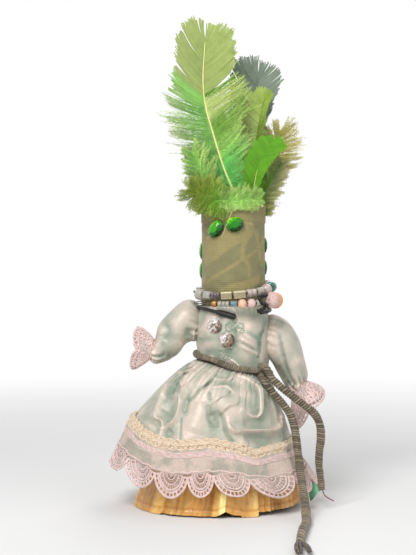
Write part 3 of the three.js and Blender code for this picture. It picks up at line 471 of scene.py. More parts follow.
def fold_light(points, folds, outward, base):
    """How light the satin shows, from 0 in its folds to 1 where it catches light."""
    across, up = front_view(points)
    facing = ease(-outward[..., 1], 0.1, 0.4)
    tone = np.clip(base, 0, 1)
    for _, light, width, line in folds:
        far, _ = from_stroke(across, up, line)
        crisp = 0.56 + 0.44 * hill(width, 1.5)
        tone = tone + ((light > 0) - tone) * abs(light) * crisp * hill(far, 1.15 * width) * facing
    return {"tone": tone}


def press_folds(points, folds, outward, depth=1.0):
    """Raises the drawn folds on the front of a cloth."""
    return points + outward * (depth * fold_lift(points, folds, outward))[..., None]


def swollen(points, swellings, outward):
    """Raises soft swellings on the front of a cloth."""
    across, up = front_view(points)
    lift = np.zeros(across.shape)
    for (x, z), (wide, tall), height in swellings:
        lift += height * hill(across - x, wide) * hill(up - z, tall)
    return points + outward * (lift * ease(-outward[..., 1], 0.05, 0.4))[..., None]


def skirt_gathers(theta, share):
    return ripple(theta, share, 3, (37, 43, 52, 61), 0.4)


def skirt_falls(theta, share):
    return ripple(theta, share, 5, (9, 11, 14), 0.8)


def skirt_surface(theta, share):
    """The skirt with its gathers, hanging falls, drawn folds and the pouf at its front."""
    front = ease(-np.sin(theta), 0.0, 0.45)
    gathers = skirt_gathers(theta, share) * 0.8 * hill(share, 0.3)
    falls = skirt_falls(theta, share) * 2.0 * ease(share, 0.1, 0.9)
    small = ripple(theta, share, 8, (19, 23, 29), 2.0) * 0.35
    relief = gathers + falls * (1 - 0.75 * front) + small
    points = bell(theta, share, SKIRT_WAIST_R, SKIRT_HEM, SKIRT_FLARE) + ring_point(theta) * relief[..., None]
    outward = normals(points)
    points = press_folds(points, SKIRT_FOLDS, outward, 2.0)
    return swollen(points, POUF, outward)


SKIRT_DEEP = 1.3
SKIRT_COLUMNS = 600
SKIRT_ROWS = 130
SKIRT_MAP = skirt_surface(*np.meshgrid(np.linspace(-math.pi, math.pi, SKIRT_COLUMNS + 1),
                                       np.linspace(0, SKIRT_DEEP, SKIRT_ROWS + 1)))


def skirt_point(theta, share):
    """A point of the folded skirt, for what is sewn on it."""
    column = (wrapped(theta) + math.pi) / (2 * math.pi) * SKIRT_COLUMNS
    row = np.clip(np.asarray(share) / SKIRT_DEEP * SKIRT_ROWS, 0, SKIRT_ROWS - 0.001)
    c, r = np.minimum(column.astype(int), SKIRT_COLUMNS - 1), row.astype(int)
    u, v = (column - c)[..., None], (row - r)[..., None]
    above = SKIRT_MAP[r, c] * (1 - u) + SKIRT_MAP[r, c + 1] * u
    below = SKIRT_MAP[r + 1, c] * (1 - u) + SKIRT_MAP[r + 1, c + 1] * u
    return above * (1 - v) + below * v


# Meshes


def link(name, data):
    piece = bpy.data.objects.new(name, data)
    bpy.context.scene.collection.objects.link(piece)
    return piece


def middle_of(node):
    """The middle of a solid's box, in millimetres."""
    return np.mean(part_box(node), axis=0) / MM


def mesh_from(name, bm):
    mesh = bpy.data.meshes.new(name)
    bm.to_mesh(mesh)
    bm.free()
    return mesh


def rework(mesh, *steps):
    """Runs steps on a mesh's shape and leaves it smooth."""
    bm = bmesh.new()
    bm.from_mesh(mesh)
    for step in steps:
        step(bm)
    bm.to_mesh(mesh)
    bm.free()
    mesh.shade_smooth()


def sew(bm):
    bmesh.ops.remove_doubles(bm, verts=bm.verts, dist=SEAM)


def fill_holes(bm):
    bmesh.ops.holes_fill(bm, edges=[e for e in bm.edges if e.is_boundary], sides=WIDEST_HOLE)


def turn_outwards(bm):
    bmesh.ops.recalc_face_normals(bm, faces=bm.faces)


def soften(bm):
    bmesh.ops.smooth_vert(bm, verts=bm.verts, factor=0.5, use_axis_x=True, use_axis_y=True,
                          use_axis_z=True)


def add_part(whole, part):
    """Joins a shape to another."""
    mesh = mesh_from("part", part)
    whole.from_mesh(mesh)
    bpy.data.meshes.remove(mesh)


def lay(mesh, points):
    """Moves a mesh's points to places in millimetres."""
    mesh.vertices.foreach_set("co", (points * MM).astype(np.float32).ravel())
    mesh.update()


def paint(mesh, name, values):
    """Keeps one number or colour for each vertex."""
    values = np.asarray(values, np.float32)
    kind = "FLOAT" if values.ndim == 1 else "FLOAT_COLOR"
    layer = mesh.attributes.new(name, kind, "POINT")
    layer.data.foreach_set("value" if kind == "FLOAT" else "color", values.ravel())


def grid(columns, rows):
    """A flat grid, with where its points lie as shares and as whole columns and rows."""
    bm = bmesh.new()
    bmesh.ops.create_grid(bm, x_segments=columns, y_segments=rows, size=1)
    share = np.array([(v.co.x, v.co.y) for v in bm.verts]) * 0.5 + 0.5
    column, row = np.rint(share * (columns, rows)).astype(int).T
    return bm, share, column, row


def sheet(name, columns, rows, place, marks=None, span=(1.0, 1.0)):
    """A cloth over a surface. place gives points for shares across and down; marks gives painted values."""
    bm, share, column, row = grid(columns, rows)
    mesh = mesh_from(name, bm)
    across, down = np.meshgrid(np.linspace(0, 1, columns + 1), np.linspace(0, 1, rows + 1))
    points = place(across, down)
    lay(mesh, points[row, column])
    for key, values in (marks(across, down, points) if marks else {}).items():
        paint(mesh, key, values[row, column])
    corner = np.empty(len(mesh.loops), np.int32)
    mesh.loops.foreach_get("vertex_index", corner)
    layer = mesh.uv_layers.new(name="Cloth")
    layer.data.foreach_set("uv", (share[corner] * np.array(span)).astype(np.float32).ravel())
    rework(mesh, sew, turn_outwards)
    return link(name, mesh)


def strips(name, centre, half, tint):
    """Many narrow ribbons, as barbs of a feather. centre and half are ribbon by step by axis."""
    count, steps = centre.shape[:2]
    columns = 2 * count - 1
    bm, _, column, step = grid(columns, steps - 1)
    between = [f for f in bm.faces if int((f.calc_center_median().x + 1) / 2 * columns) % 2]
    bmesh.ops.delete(bm, geom=between, context="FACES")
    mesh = mesh_from(name, bm)
    barb = column // 2
    side = np.where(column % 2, 1.0, -1.0)[:, None]
    lay(mesh, centre[barb, step] + half[barb, step] * side)
    paint(mesh, "tint", np.c_[tint[barb, step], np.ones(len(barb))])
    mesh.shade_smooth()
    return link(name, mesh)


def tubes(name, lines, corners=0, closed=False):
    """Round threads along lines, each with its points and a radius for the line or for each point."""
    data = bpy.data.curves.new(name, "CURVE")
    data.dimensions = "3D"
    data.bevel_depth = MM
    data.bevel_resolution = corners
    data.use_fill_caps = True
    for line, radius in lines:
        spline = data.splines.new("POLY")
        spline.points.add(len(line) - 1)
        spline.points.foreach_set("co", np.c_[np.asarray(line) * MM, np.ones(len(line))].ravel())
        spline.points.foreach_set("radius", np.broadcast_to(np.asarray(radius, float), len(line)).copy())
        spline.use_cyclic_u = closed
    holder = link(name, data)
    bpy.context.view_layer.update()
    mesh = bpy.data.meshes.new_from_object(holder.evaluated_get(bpy.context.evaluated_depsgraph_get()))
    bpy.data.objects.remove(holder)
    bpy.data.curves.remove(data)
    mesh.name = name
    mesh.materials.clear()
    mesh.shade_smooth()
    return link(name, mesh)


def turned(profile):
    """A bead turned round its own axis from points (radius, height)."""
    bm = bmesh.new()
    verts = [bm.verts.new((radius, 0, height)) for radius, height in profile]
    edges = [bm.edges.new(pair) for pair in zip(verts, verts[1:])]
    bmesh.ops.spin(bm, geom=verts + edges, cent=(0, 0, 0), axis=(0, 0, 1), angle=2 * math.pi,
                   steps=BEAD_STEPS, use_merge=True)
    bmesh.ops.remove_doubles(bm, verts=bm.verts, dist=0.001)
    turn_outwards(bm)
    return bm


def placed(name, bm, matrix, smooth=True):
    """Turns a shape in millimetres into a piece at its place."""
    bmesh.ops.transform(bm, matrix=Matrix.Scale(MM, 4) @ matrix, verts=bm.verts)
    mesh = mesh_from(name, bm)
    if smooth:
        mesh.shade_smooth()
    return link(name, mesh)


def cut_stone(corners, rings):
    """A faceted stone from rings of corners, each with its reach, its height and its turn in corners."""
    bm = bmesh.new()
    loops = []
    for reach, height, turn in rings:
        seat = Matrix.Translation((0, 0, height)) @ Matrix.Rotation(turn * 2 * math.pi / corners, 4, "Z")
        made = bmesh.ops.create_circle(bm, segments=corners, radius=reach, matrix=seat)
        loops.append(list({e for v in made["verts"] for e in v.link_edges}))
    for low, high in zip(loops, loops[1:]):
        bmesh.ops.bridge_loops(bm, edges=low + high)
    fill_holes(bm)
    return bm


def set_stone(name, bm, reach, tone, painted_light_aim, scatter, chance):
    """Sets a cut stone over its solid, facing out from the tube; facets that face the given light direction
    are painted lighter and those turned away darker, as painted highlights and shade.
    """
    centre = middle_of(name)
    out = unit(centre * (1, 1, 0))
    turn = Vector(out).to_track_quat("Z", "Y").to_matrix().to_4x4()
    seat = Matrix.Translation(Vector(out * reach + (0, 0, centre[2])))
    bmesh.ops.split_edges(bm, edges=bm.edges)
    piece = placed(name + "_stone", bm, seat @ turn, smooth=False)
    faces = piece.data.polygons
    # Painted light: each facet's tone rises as it faces the light direction, with a random scatter.
    tones = tone + np.array([face.normal for face in faces]) @ painted_light_aim
    tones = tones + chance.uniform(-scatter, scatter, len(faces))
    spread = np.zeros(len(piece.data.vertices))
    for face, value in zip(faces, tones):
        spread[list(face.vertices)] = value
    paint(piece.data, "tone", spread)
    return piece


def keep(piece, material, body="doll", nodes=(), slot=None):
    """Gives a piece its finish and the part it moves with, and hides the solids it stands for."""
    piece.data.materials.clear()
    piece.data.materials.append(material)
    if body:
        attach(piece, body)
    if nodes:
        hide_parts(*nodes)
    return piece


# Finishes


def wire(tree, socket, value):
    """Gives a socket its value, or a link from another node."""
    if isinstance(value, bpy.types.NodeSocket):
        tree.links.new(value, socket)
    else:
        socket.default_value = value


def put(tree, kind, inputs=None, **settings):
    made = tree.nodes.new(kind)
    for key, value in settings.items():
        setattr(made, key, value)
    for key, value in (inputs or {}).items():
        wire(tree, made.inputs[key], value)
    return made


def reckon(tree, operation, *values):
    """One sum between values."""
    return put(tree, "ShaderNodeMath", dict(enumerate(values)), operation=operation).outputs["Value"]


def new_group(name, numbers, output):
    """An empty group of nodes that takes a place and some numbers and gives one number."""
    group = bpy.data.node_groups.new(name, "ShaderNodeTree")
    group.interface.new_socket("Vector", in_out="INPUT", socket_type="NodeSocketVector")
    for key, value in numbers.items():
        socket = group.interface.new_socket(key, in_out="INPUT", socket_type="NodeSocketFloat")
        socket.default_value = value
    group.interface.new_socket(output, in_out="OUTPUT", socket_type="NodeSocketFloat")
    return group, put(group, "NodeGroupInput").outputs


def surface_drift():
    """Slow unevenness of a surface, between a low and a high value."""
    group = bpy.data.node_groups.get("Surface drift")
    if group:
        return group
    group, given = new_group("Surface drift", {"Scale": 120.0, "Low": 0.0, "High": 1.0}, "Value")
    noise = put(group, "ShaderNodeTexNoise", {
        "Vector": given["Vector"], "Scale": given["Scale"], "Detail": 4.0, "Roughness": 0.6,
    })
    spread = put(group, "ShaderNodeMapRange", {
        "Value": noise.outputs["Fac"], "From Min": 0.3, "From Max": 0.7,
        "To Min": given["Low"], "To Max": given["High"],
    })
    put(group, "NodeGroupOutput", {"Value": spread.outputs["Result"]})
    return group


def thread_weave():
    """Crossing threads of a woven cloth, as a height."""
    group = bpy.data.node_groups.get("Thread weave")
    if group:
        return group
    group, given = new_group("Thread weave", {"Threads": 300.0}, "Height")
    runs = []
    for direction in ("X", "Y"):
        run = put(group, "ShaderNodeTexWave", {
            "Vector": given["Vector"], "Scale": given["Threads"], "Distortion": 0.6, "Detail": 1.0,
        }, bands_direction=direction)
        runs.append(run.outputs["Fac"])
    put(group, "NodeGroupOutput", {"Height": reckon(group, "MAXIMUM", *runs)})
    return group


class Finish:
    """A material under construction."""

    def __init__(self, name, **sockets):
        self.material = bpy.data.materials.new(name)
        self.material.use_nodes = True
        self.tree = self.material.node_tree
        self.tree.nodes.clear()
        self.out = self.put("ShaderNodeOutputMaterial")
        inputs = {key.replace("_", " "): value for key, value in sockets.items()}
        self.shader = self.put("ShaderNodeBsdfPrincipled", inputs)
        self.tree.links.new(self.shader.outputs["BSDF"], self.out.inputs["Surface"])
        self.coords = self.put("ShaderNodeTexCoord").outputs

    def put(self, kind, inputs=None, **settings):
        return put(self.tree, kind, inputs, **settings)

    def feed(self, socket, value):
        self.tree.links.new(value, self.shader.inputs[socket])

    def drift(self, scale, low=0.0, high=1.0):
        inputs = {"Vector": self.coords["Object"], "Scale": scale, "Low": low, "High": high}
        return self.put("ShaderNodeGroup", inputs, node_tree=surface_drift()).outputs["Value"]

    def weave(self, threads):
        inputs = {"Vector": self.coords["UV"], "Threads": threads}
        return self.put("ShaderNodeGroup", inputs, node_tree=thread_weave()).outputs["Height"]

    def attribute(self, name, output="Fac"):
        return self.put("ShaderNodeAttribute", attribute_name=name).outputs[output]

    def add(self, first, second, share):
        return reckon(self.tree, "MULTIPLY_ADD", second, share, first)

    def ramp(self, value, *stops):
        made = self.put("ShaderNodeValToRGB", {"Fac": value})
        places = made.color_ramp.elements
        while len(places) < len(stops):
            places.new(0.5)
        for element, (place, colour) in zip(places, stops):
            element.position = place
            element.color = with_alpha(colour)
        return made.outputs["Color"]

    def mix(self, factor, first, second, blend="MIX"):
        """Mixes two colours; a mix node has its colours at inputs 6 and 7, and gives one at output 2."""
        made = self.put("ShaderNodeMix", {0: factor}, data_type="RGBA", blend_type=blend)
        for index, colour in ((6, first), (7, second)):
            linked = isinstance(colour, bpy.types.NodeSocket)
            wire(self.tree, made.inputs[index], colour if linked else with_alpha(colour))
        return made.outputs[2]

    def complete(self, colour, rough, relief=None):
        """Feeds a colour, the scale and range of the roughness, and a relief's height, depth and strength."""
        self.feed("Base Color", colour)
        self.feed("Roughness", self.drift(*rough))
        if relief:
            inputs = dict(zip(("Height", "Distance", "Strength"), relief))
            self.feed("Normal", self.put("ShaderNodeBump", inputs).outputs["Normal"])
        return self.material


def satin(name, light, middle, deep, rough=0.36):
    """Smooth shiny cloth with a fine weave, small creases and a warm gloss, its colour running from painted
    shade to painted highlights by its tone.
    """
    finish = Finish(name, Specular_IOR_Level=0.65, Specular_Tint=(1.0, 0.9, 0.86, 1), Sheen_Weight=0.1,
                    Sheen_Roughness=0.4, Sheen_Tint=(1.0, 0.92, 0.9, 1))
    tone = finish.add(finish.attribute("tone"), finish.drift(240, -0.5, 0.5), 0.16)
    # Painted light and shade: the tone runs from the deep colour, painted shade in the folds, through the
    # middle colour to the light colour and crest, painted highlights on the ridges. Crest is lighter still
    # than the light colour.
    crest = shaded(light, 1.3, 0.1)
    colour = finish.ramp(tone, (0.05, deep), (0.5, middle), (0.82, light), (1.0, crest))
    creases = finish.add(finish.drift(420), finish.weave(170), 0.15)
    return finish.complete(colour, (420, rough - 0.06, rough + 0.08), (creases, 0.0005, 0.35))


def lace_thread(name, colour):
    """Matt cotton thread."""
    finish = Finish(name, Specular_IOR_Level=0.3, Sheen_Weight=0.3)
    mixed = finish.mix(finish.drift(420), shaded(colour, 0.78), shaded(colour, 1.15))
    return finish.complete(mixed, (300, 0.7, 0.9), (finish.drift(2600), 0.0003, 0.6))


def tulle(name, colour, meshes, hole):
    """See-through net between the lace threads."""
    finish = Finish(name, Specular_IOR_Level=0.2)
    shade = finish.ramp(finish.drift(75), (0.3, shaded(colour, (0.66, 0.74, 0.72))), (0.65, colour))
    cells = {"Vector": finish.coords["UV"], "Scale": meshes, "Randomness": 0.5}
    holes = finish.put("ShaderNodeTexVoronoi", cells).outputs["Distance"]
    rim = finish.put("ShaderNodeMapRange", {"Value": holes, "From Min": 0.3, "From Max": 0.4, "To Min": hole})
    finish.feed("Alpha", reckon(finish.tree, "MULTIPLY", finish.attribute("cover"), rim.outputs["Result"]))
    return finish.complete(shade, (500, 0.75, 0.95), (holes, 0.0004, 0.5))


def toned(name, *stops, rough, depth=0.0004, **sockets):
    """A finish whose colour follows the piece's own tone."""
    finish = Finish(name, **sockets)
    tone = finish.add(finish.attribute("tone"), finish.drift(700, -0.5, 0.5), 0.3)
    return finish.complete(finish.ramp(tone, *stops), (500, *rough), (finish.drift(1500), depth, 0.6))


def glassy(name, light, deep, through, rough=(0.08, 0.2)):
    """Bead glass with clouding in it."""
    finish = Finish(name, Transmission_Weight=through, IOR=1.48, Coat_Weight=0.3, Coat_Roughness=0.08)
    colour = finish.mix(finish.drift(260), deep, light)
    return finish.complete(colour, (600, *rough), (finish.drift(700), 0.0002, 0.2))


def dyed_barbs():
    """Feather barbs, coloured barb by barb."""
    finish = Finish("Dyed barbs", Specular_IOR_Level=0.25, Sheen_Weight=0.2)
    shade = finish.ramp(finish.drift(160), (0.0, (0.78, 0.8, 0.74)), (1.0, (1, 1, 1)))
    colour = finish.mix(1.0, finish.attribute("tint", "Color"), shade, "MULTIPLY")
    return finish.complete(colour, (700, 0.55, 0.75), (finish.drift(1800), 0.0003, 0.4))


def plain(name, light, deep, rough=(0.5, 0.7), scale=300, grain=900, depth=0.0003, **sockets):
    """Two close colours that drift into each other, with a fine grain."""
    finish = Finish(name, **sockets)
    colour = finish.mix(finish.drift(scale), deep, light)
    return finish.complete(colour, (scale * 2, *rough), (finish.drift(grain), depth, 0.5))


# Settings


def colour_prop(name, about, value):
    return bpy.props.FloatVectorProperty(name=name, description=about, subtype="COLOR", size=3, min=0, max=1,
                                         default=value)


def power_prop(name, about, value):
    return bpy.props.FloatProperty(name=name, description=about, default=value, min=0, unit="POWER")


def spacing_prop(name, about, value, low, high):
    return bpy.props.FloatProperty(name=name, description=about, default=value, min=low, max=high,
                                   unit="LENGTH", subtype="DISTANCE")


class StageSettings(bpy.types.PropertyGroup):
    key_power: power_prop("Key light", "Power of the large lamp at the front", 18.3)
    fill_power: power_prop("Fill light", "Power of the lamp that softens shadows", 4.2)
    back_power: power_prop("Back light", "Power of the lamp behind the doll", 4.0)
    floor_colour: colour_prop("Floor", "Colour of the floor", (0.93, 0.93, 0.93))


class CordSettings(bpy.types.PropertyGroup):
    # The belt's dark colour is painted shade in the gaps between the windings.
    belt_light: colour_prop("Belt, light", "Colour on top of the winding", srgb(164, 150, 126))
    belt_gap_shade: colour_prop("Belt, dark", "Colour between the windings", srgb(30, 26, 20))
    winding: spacing_prop("Winding", "Distance from one winding to the next", 0.0016, 0.0008, 0.004)


class HeadSettings(bpy.types.PropertyGroup):
    ground: colour_prop("Damask ground", "Colour of the cloth", srgb(139, 133, 93))
    figure: colour_prop("Damask figure", "Colour of the woven leaves", srgb(158, 147, 98))
    stone: colour_prop("Stones", "Colour of the glass eyes and side stones", srgb(34, 134, 26))


class BeadSettings(bpy.types.PropertyGroup):
    grey: colour_prop("Grey glass", "Colour of the grey beads", srgb(178, 175, 160))
    olive: colour_prop("Olive glass", "Colour of the square beads", srgb(188, 174, 134))
    purple: colour_prop("Purple glass", "Colour of the seed beads", srgb(120, 96, 104))
    pink: colour_prop("Pink bead", "Colour of the pink beads", srgb(228, 192, 188))
    peach: colour_prop("Peach bead", "Colour of the peach bead", srgb(240, 192, 160))


class DressSettings(bpy.types.PropertyGroup):
    # The light and deep colours of the two satins are lit and shaded copies of their middle colours: painted
    # highlight and painted shade.
    satin_light: colour_prop("Satin, light", "Colour of the dress in the light", srgb(213, 197, 183))
    satin: colour_prop("Satin", "Colour of the dress", srgb(180, 179, 164))
    satin_fold_shade: colour_prop("Satin, deep", "Colour of the dress in its folds", srgb(112, 136, 116))
    gold_light: colour_prop("Petticoat, light", "Colour of the petticoat on its folds", srgb(250, 207, 124))
    gold: colour_prop("Petticoat", "Colour of the petticoat", srgb(214, 155, 70))
    gold_fold_shade: colour_prop("Petticoat, deep", "Colour of the petticoat in its folds", srgb(150, 90, 26))
    ribbon: colour_prop("Ribbon", "Colour of the ribbon end", srgb(96, 168, 126))
    lace: colour_prop("Lace", "Colour of the lace threads", srgb(238, 210, 204))
    net: colour_prop("Net", "Colour of the net behind the lace", srgb(208, 190, 178))
    gimp: colour_prop("Braid", "Colour of the gimp braid", srgb(240, 222, 196))


class PlumeSettings(bpy.types.PropertyGroup):
    lime: colour_prop("Lime", "Colour of the tall feather's top", srgb(155, 173, 98))
    mint: colour_prop("Mint", "Colour of the downy part", srgb(132, 194, 92))
    green: colour_prop("Green", "Colour of the bright feather", srgb(94, 160, 22))
    olive: colour_prop("Olive", "Colour of the olive tufts", srgb(118, 142, 36))
    grey: colour_prop("Blue-grey", "Colour of the grey feather", srgb(126, 140, 124))
    pale: colour_prop("Pale tips", "Colour of the barb tips", srgb(196, 210, 132))
    barb_step: spacing_prop("Barb spacing", "Distance between barbs on the shaft", 0.0004, 0.0002, 0.002)


# Stage and camera


class DOLL_OT_stage(bpy.types.Operator):
    """Floor, soft lamps and the camera in front of the doll"""

    bl_idname = "doll.stage"
    bl_label = "Stage"

    def execute(self, context):
        settings = context.scene.doll_stage
        context.scene.view_settings.view_transform = "Standard"
        self.camera(context.scene)
        self.floor(settings.floor_colour)
        self.lamps(settings)
        self.sky(context.scene)
        return {"FINISHED"}

    def camera(self, scene):
        view = bpy.data.cameras.new("doll_camera")
        view.lens = LENS
        view.sensor_width = SENSOR
        view.clip_end = FAR_CLIP
        scene.camera = link("doll_camera", view)
        scene.camera.location = Vector(EYE) * MM
        scene.camera.rotation_euler = (math.pi / 2, 0, 0)

    def floor(self, colour):
        bm = bmesh.new()
        bmesh.ops.create_circle(bm, cap_ends=True, segments=64, radius=FLOOR_R)
        floor = link("floor", mesh_from("floor", bm))
        finish = Finish("Pale floor", Roughness=0.8, Specular_IOR_Level=0.2)
        finish.feed("Base Color", finish.mix(finish.drift(6), shaded(colour, 0.98), colour))
        away = finish.put("ShaderNodeVectorMath", {0: finish.coords["Object"]}, operation="LENGTH")
        far = finish.put("ShaderNodeMapRange", {
            "Value": away.outputs["Value"], "From Min": FLOOR_FADE[0], "From Max": FLOOR_FADE[1],
        }, interpolation_type="SMOOTHSTEP")
        fade = reckon(finish.tree, "MULTIPLY", far.outputs["Result"], self.seen(finish.tree))
        white = finish.put("ShaderNodeEmission", {"Color": WHITE, "Strength": 1.0})
        mixed = finish.put("ShaderNodeMixShader", {
            0: fade, 1: finish.shader.outputs["BSDF"], 2: white.outputs["Emission"],
        })
        finish.tree.links.new(mixed.outputs["Shader"], finish.out.inputs["Surface"])
        floor.data.materials.append(finish.material)

    def seen(self, tree):
        """1 for what the camera sees, straight or in a gloss or through glass."""
        path = put(tree, "ShaderNodeLightPath").outputs
        straight = reckon(tree, "MAXIMUM", path["Is Camera Ray"], path["Is Glossy Ray"])
        return reckon(tree, "MAXIMUM", straight, path["Is Transmission Ray"])

    def lamps(self, settings):
        lamps = (
            ("key_lamp", settings.key_power, 0.7, (-0.45, -1.05, 1.1)),
            ("fill_lamp", settings.fill_power, 1.1, (0.95, -0.85, 0.5)),
            ("back_lamp", settings.back_power, 0.8, (0.35, 0.9, 0.95)),
        )
        for name, power, size, place in lamps:
            data = bpy.data.lights.new(name, "AREA")
            data.energy = power
            data.size = size
            lamp = link(name, data)
            lamp.location = place
            aim = Vector(LAMP_AIM) - lamp.location
            lamp.rotation_euler = aim.to_track_quat("-Z", "Y").to_euler()

    def sky(self, scene):
        world = bpy.data.worlds.new("doll_world")
        world.use_nodes = True
        tree = world.node_tree
        tree.nodes.clear()
        dim = put(tree, "ShaderNodeBackground", {"Color": WHITE, "Strength": 0.25})
        white = put(tree, "ShaderNodeBackground", {"Color": WHITE, "Strength": 1.0})
        mixed = put(tree, "ShaderNodeMixShader", {
            0: self.seen(tree), 1: dim.outputs["Background"], 2: white.outputs["Background"],
        })
        put(tree, "ShaderNodeOutputWorld", {"Surface": mixed.outputs["Shader"]})
        scene.world = world


# Cords


def wound_cord(name, line, radius, pitch, starts, seed):
    """A cord wrapped with thread: each winding stands proud of the gaps between."""
    chance = np.random.default_rng(seed)
    length = line_length(line)
    rows = int(length / np.min(pitch) * WINDING_ROWS)
    turns = np.r_[0, np.cumsum(length / rows / spread_over(pitch, rows + 1)[1:])]
    centre = smooth_line(line, rows + 1)
    _, side, other = line_frames(centre)
    swell = spread_over(chance.uniform(-0.07, 0.07, 24), rows + 1)[:, None]
    reach = spread_over(radius, rows + 1)[:, None]

    def winding(across, down):
        return np.interp(down, np.linspace(0, 1, rows + 1), turns) + across * starts

    def crest(turn):
        return np.abs(np.cos(math.pi * turn)) ** 0.7

    def place(across, down):
        angle = (across * 2 * math.pi)[..., None]
        out = reach * (1 - WINDING_RIDGE + WINDING_RIDGE * crest(winding(across, down)) + swell)
        aim = side[:, None] * np.cos(angle) + other[:, None] * np.sin(angle)
        return centre[:, None] + aim * out[..., None]

    def marks(across, down, points):
        turn = winding(across, down)
        which = np.floor(turn + 0.5).astype(int)
        shade = chance.uniform(-0.2, 0.2, which.max() - which.min() + 2)[which - which.min()]
        # Painted shade: the tone falls to the dark colour in the gaps between the windings and rises on their
        # tops. Each winding also differs at random.
        return {"tone": np.clip(0.02 + 0.78 * crest(turn) + shade, 0, 1)}

    piece = sheet(name, CORD_COLUMNS, rows, place, marks, span=(1, length))
    rework(piece.data, fill_holes, turn_outwards)
    return piece


class DOLL_OT_cords(bpy.types.Operator):
    """Belt cord with its knot and two tails, and the black cord round the neck"""

    bl_idname = "doll.cords"
    bl_label = "Cords"

    def execute(self, context):
        settings = context.scene.doll_cords
        # The ramp paints shade between the windings with the dark colour.
        belt = toned("Wound belt cord", (0.0, settings.belt_gap_shade), (0.5, srgb(96, 85, 68)),
                     (1.0, settings.belt_light), rough=(0.65, 0.85), Sheen_Weight=0.2)
        winding = settings.winding / MM
        self.loop(winding, belt)
        self.short_tail(winding, belt)
        self.long_tail(winding, belt)
        self.neck()
        return {"FINISHED"}

    def loop(self, winding, belt):
        angle = np.linspace(KNOT_ANGLE, KNOT_ANGLE - 2 * math.pi + 0.1, 90)
        reach = BELT_R + 0.5 * np.sin(3 * angle)
        ring = ring_point(angle, reach, waist_height(reach * np.cos(angle)) + 0.6 * np.sin(5 * angle))
        loop = wound_cord("belt_loop_cord", ring, BELT_LOOP_R, winding * 0.95, starts=2, seed=2)
        keep(loop, belt, nodes=["belt_loop"], slot="twine")
        turns = smooth_line(KNOT_TURNS, 120)
        knot = wound_cord("belt_knot_cord", turns, KNOT_R, winding * 1.15, starts=4, seed=4)
        keep(knot, belt, nodes=["belt_knot"], slot="twine")

    def short_tail(self, winding, belt):
        line = smooth_line(SHORT_TAIL, 200)
        thread = tubes("belt_tail_red_thread", [(smooth_line(line[-1] + np.array(RED_THREAD), 24), 0.35)], 1)
        keep(thread, plain("Red thread", srgb(120, 40, 50), srgb(80, 22, 30), rough=(0.6, 0.8)), slot="twine")
        pitch = winding * np.array(SHORT_TAIL_SPACING)
        piece = wound_cord("belt_short_tail_cord", line, SHORT_TAIL_R, pitch, starts=2, seed=5)
        keep(piece, belt, nodes=["belt_short_tail"], slot="twine")

    def long_tail(self, winding, belt):
        line = smooth_line(LONG_TAIL, 260)
        fray = self.fray(line[-1])
        keep(fray, belt, slot="twine")
        pitch = winding * np.array(LONG_TAIL_SPACING)
        piece = wound_cord("belt_long_tail_cord", line, LONG_TAIL_R, pitch, starts=2, seed=6)
        keep(piece, belt, nodes=["belt_long_tail"], slot="twine")

    def fray(self, end):
        """Two locks of loose strands at the end of the long tail."""
        chance = np.random.default_rng(11)
        wisps = []
        for aside, ahead, thick in FRAY_LOCKS:
            for turn in np.linspace(0, 2 * math.pi, 7, endpoint=False):
                spread = np.array([math.cos(turn), 0, math.sin(turn)]) * thick * 0.6
                far = ahead * chance.uniform(0.8, 1.05)
                tip = end + (aside + spread[0] * 1.3, far, spread[2] * 0.6 - 0.6)
                start = end + (0.4 * np.sign(aside), 4.0, 0) + spread * 0.7
                middle = (start + tip) / 2 + spread * 0.5 + (0.25 * aside, 0, 0.3)
                wisps.append((smooth_line([start, middle, tip], 12), np.linspace(0.8, 0.4, 12)))
        piece = tubes("belt_tail_fray", wisps, 1)
        paint(piece.data, "tone", chance.uniform(0.25, 0.7, len(piece.data.vertices)))
        return piece

    def neck(self):
        black = plain("Black leather cord", srgb(28, 25, 24), srgb(8, 8, 8), rough=(0.35, 0.55), scale=600)
        stops = []
        for angle, out, drop in NECK_CORD:
            reach = NECK_R + NECK_CORD_R + out
            stops.append((reach * math.sin(angle), -reach * math.cos(angle), NECK_Z - drop))
        cord = tubes("black_neck_cord_twist", [(smooth_line(stops, 160), NECK_CORD_R)], 2)
        keep(cord, black, nodes=["black_neck_cord"], slot="black_cord")
        line = smooth_line(np.array(stops[0]) + NECK_TIP, 30)
        radius = np.interp(np.linspace(0, 1, 30), *NECK_TIP_R)
        tip = tubes("black_cord_end", [(line, radius)], 3)
        keep(tip, black, nodes=["black_cord_tip"], slot="black_cord")


# Head

# Stones on the head: half-width, half-height, depth and roll
STONES = {
    "right_eye": (5.2, 6.8, 4.0, -0.7),
    "left_eye": (6.4, 5.3, 4.0, 0.1),
    "right_upper_side_gem": (4.5, 6, 1.8, 0),
    "right_lower_side_gem": (4.5, 6, 1.8, 0),
    "left_upper_side_gem": (4.5, 6, 2.2, 0),
    "left_lower_side_gem": (4.5, 6, 2.2, 0),
}
# A stone of unit size, as reach, height and turn of its foot, girdle, facets and table
STONE_RINGS = ((1.0, 0.0, 0.0), (1.0, 0.28, 0.0), (0.78, 0.72, 0.5), (0.46, 1.0, 0.0))


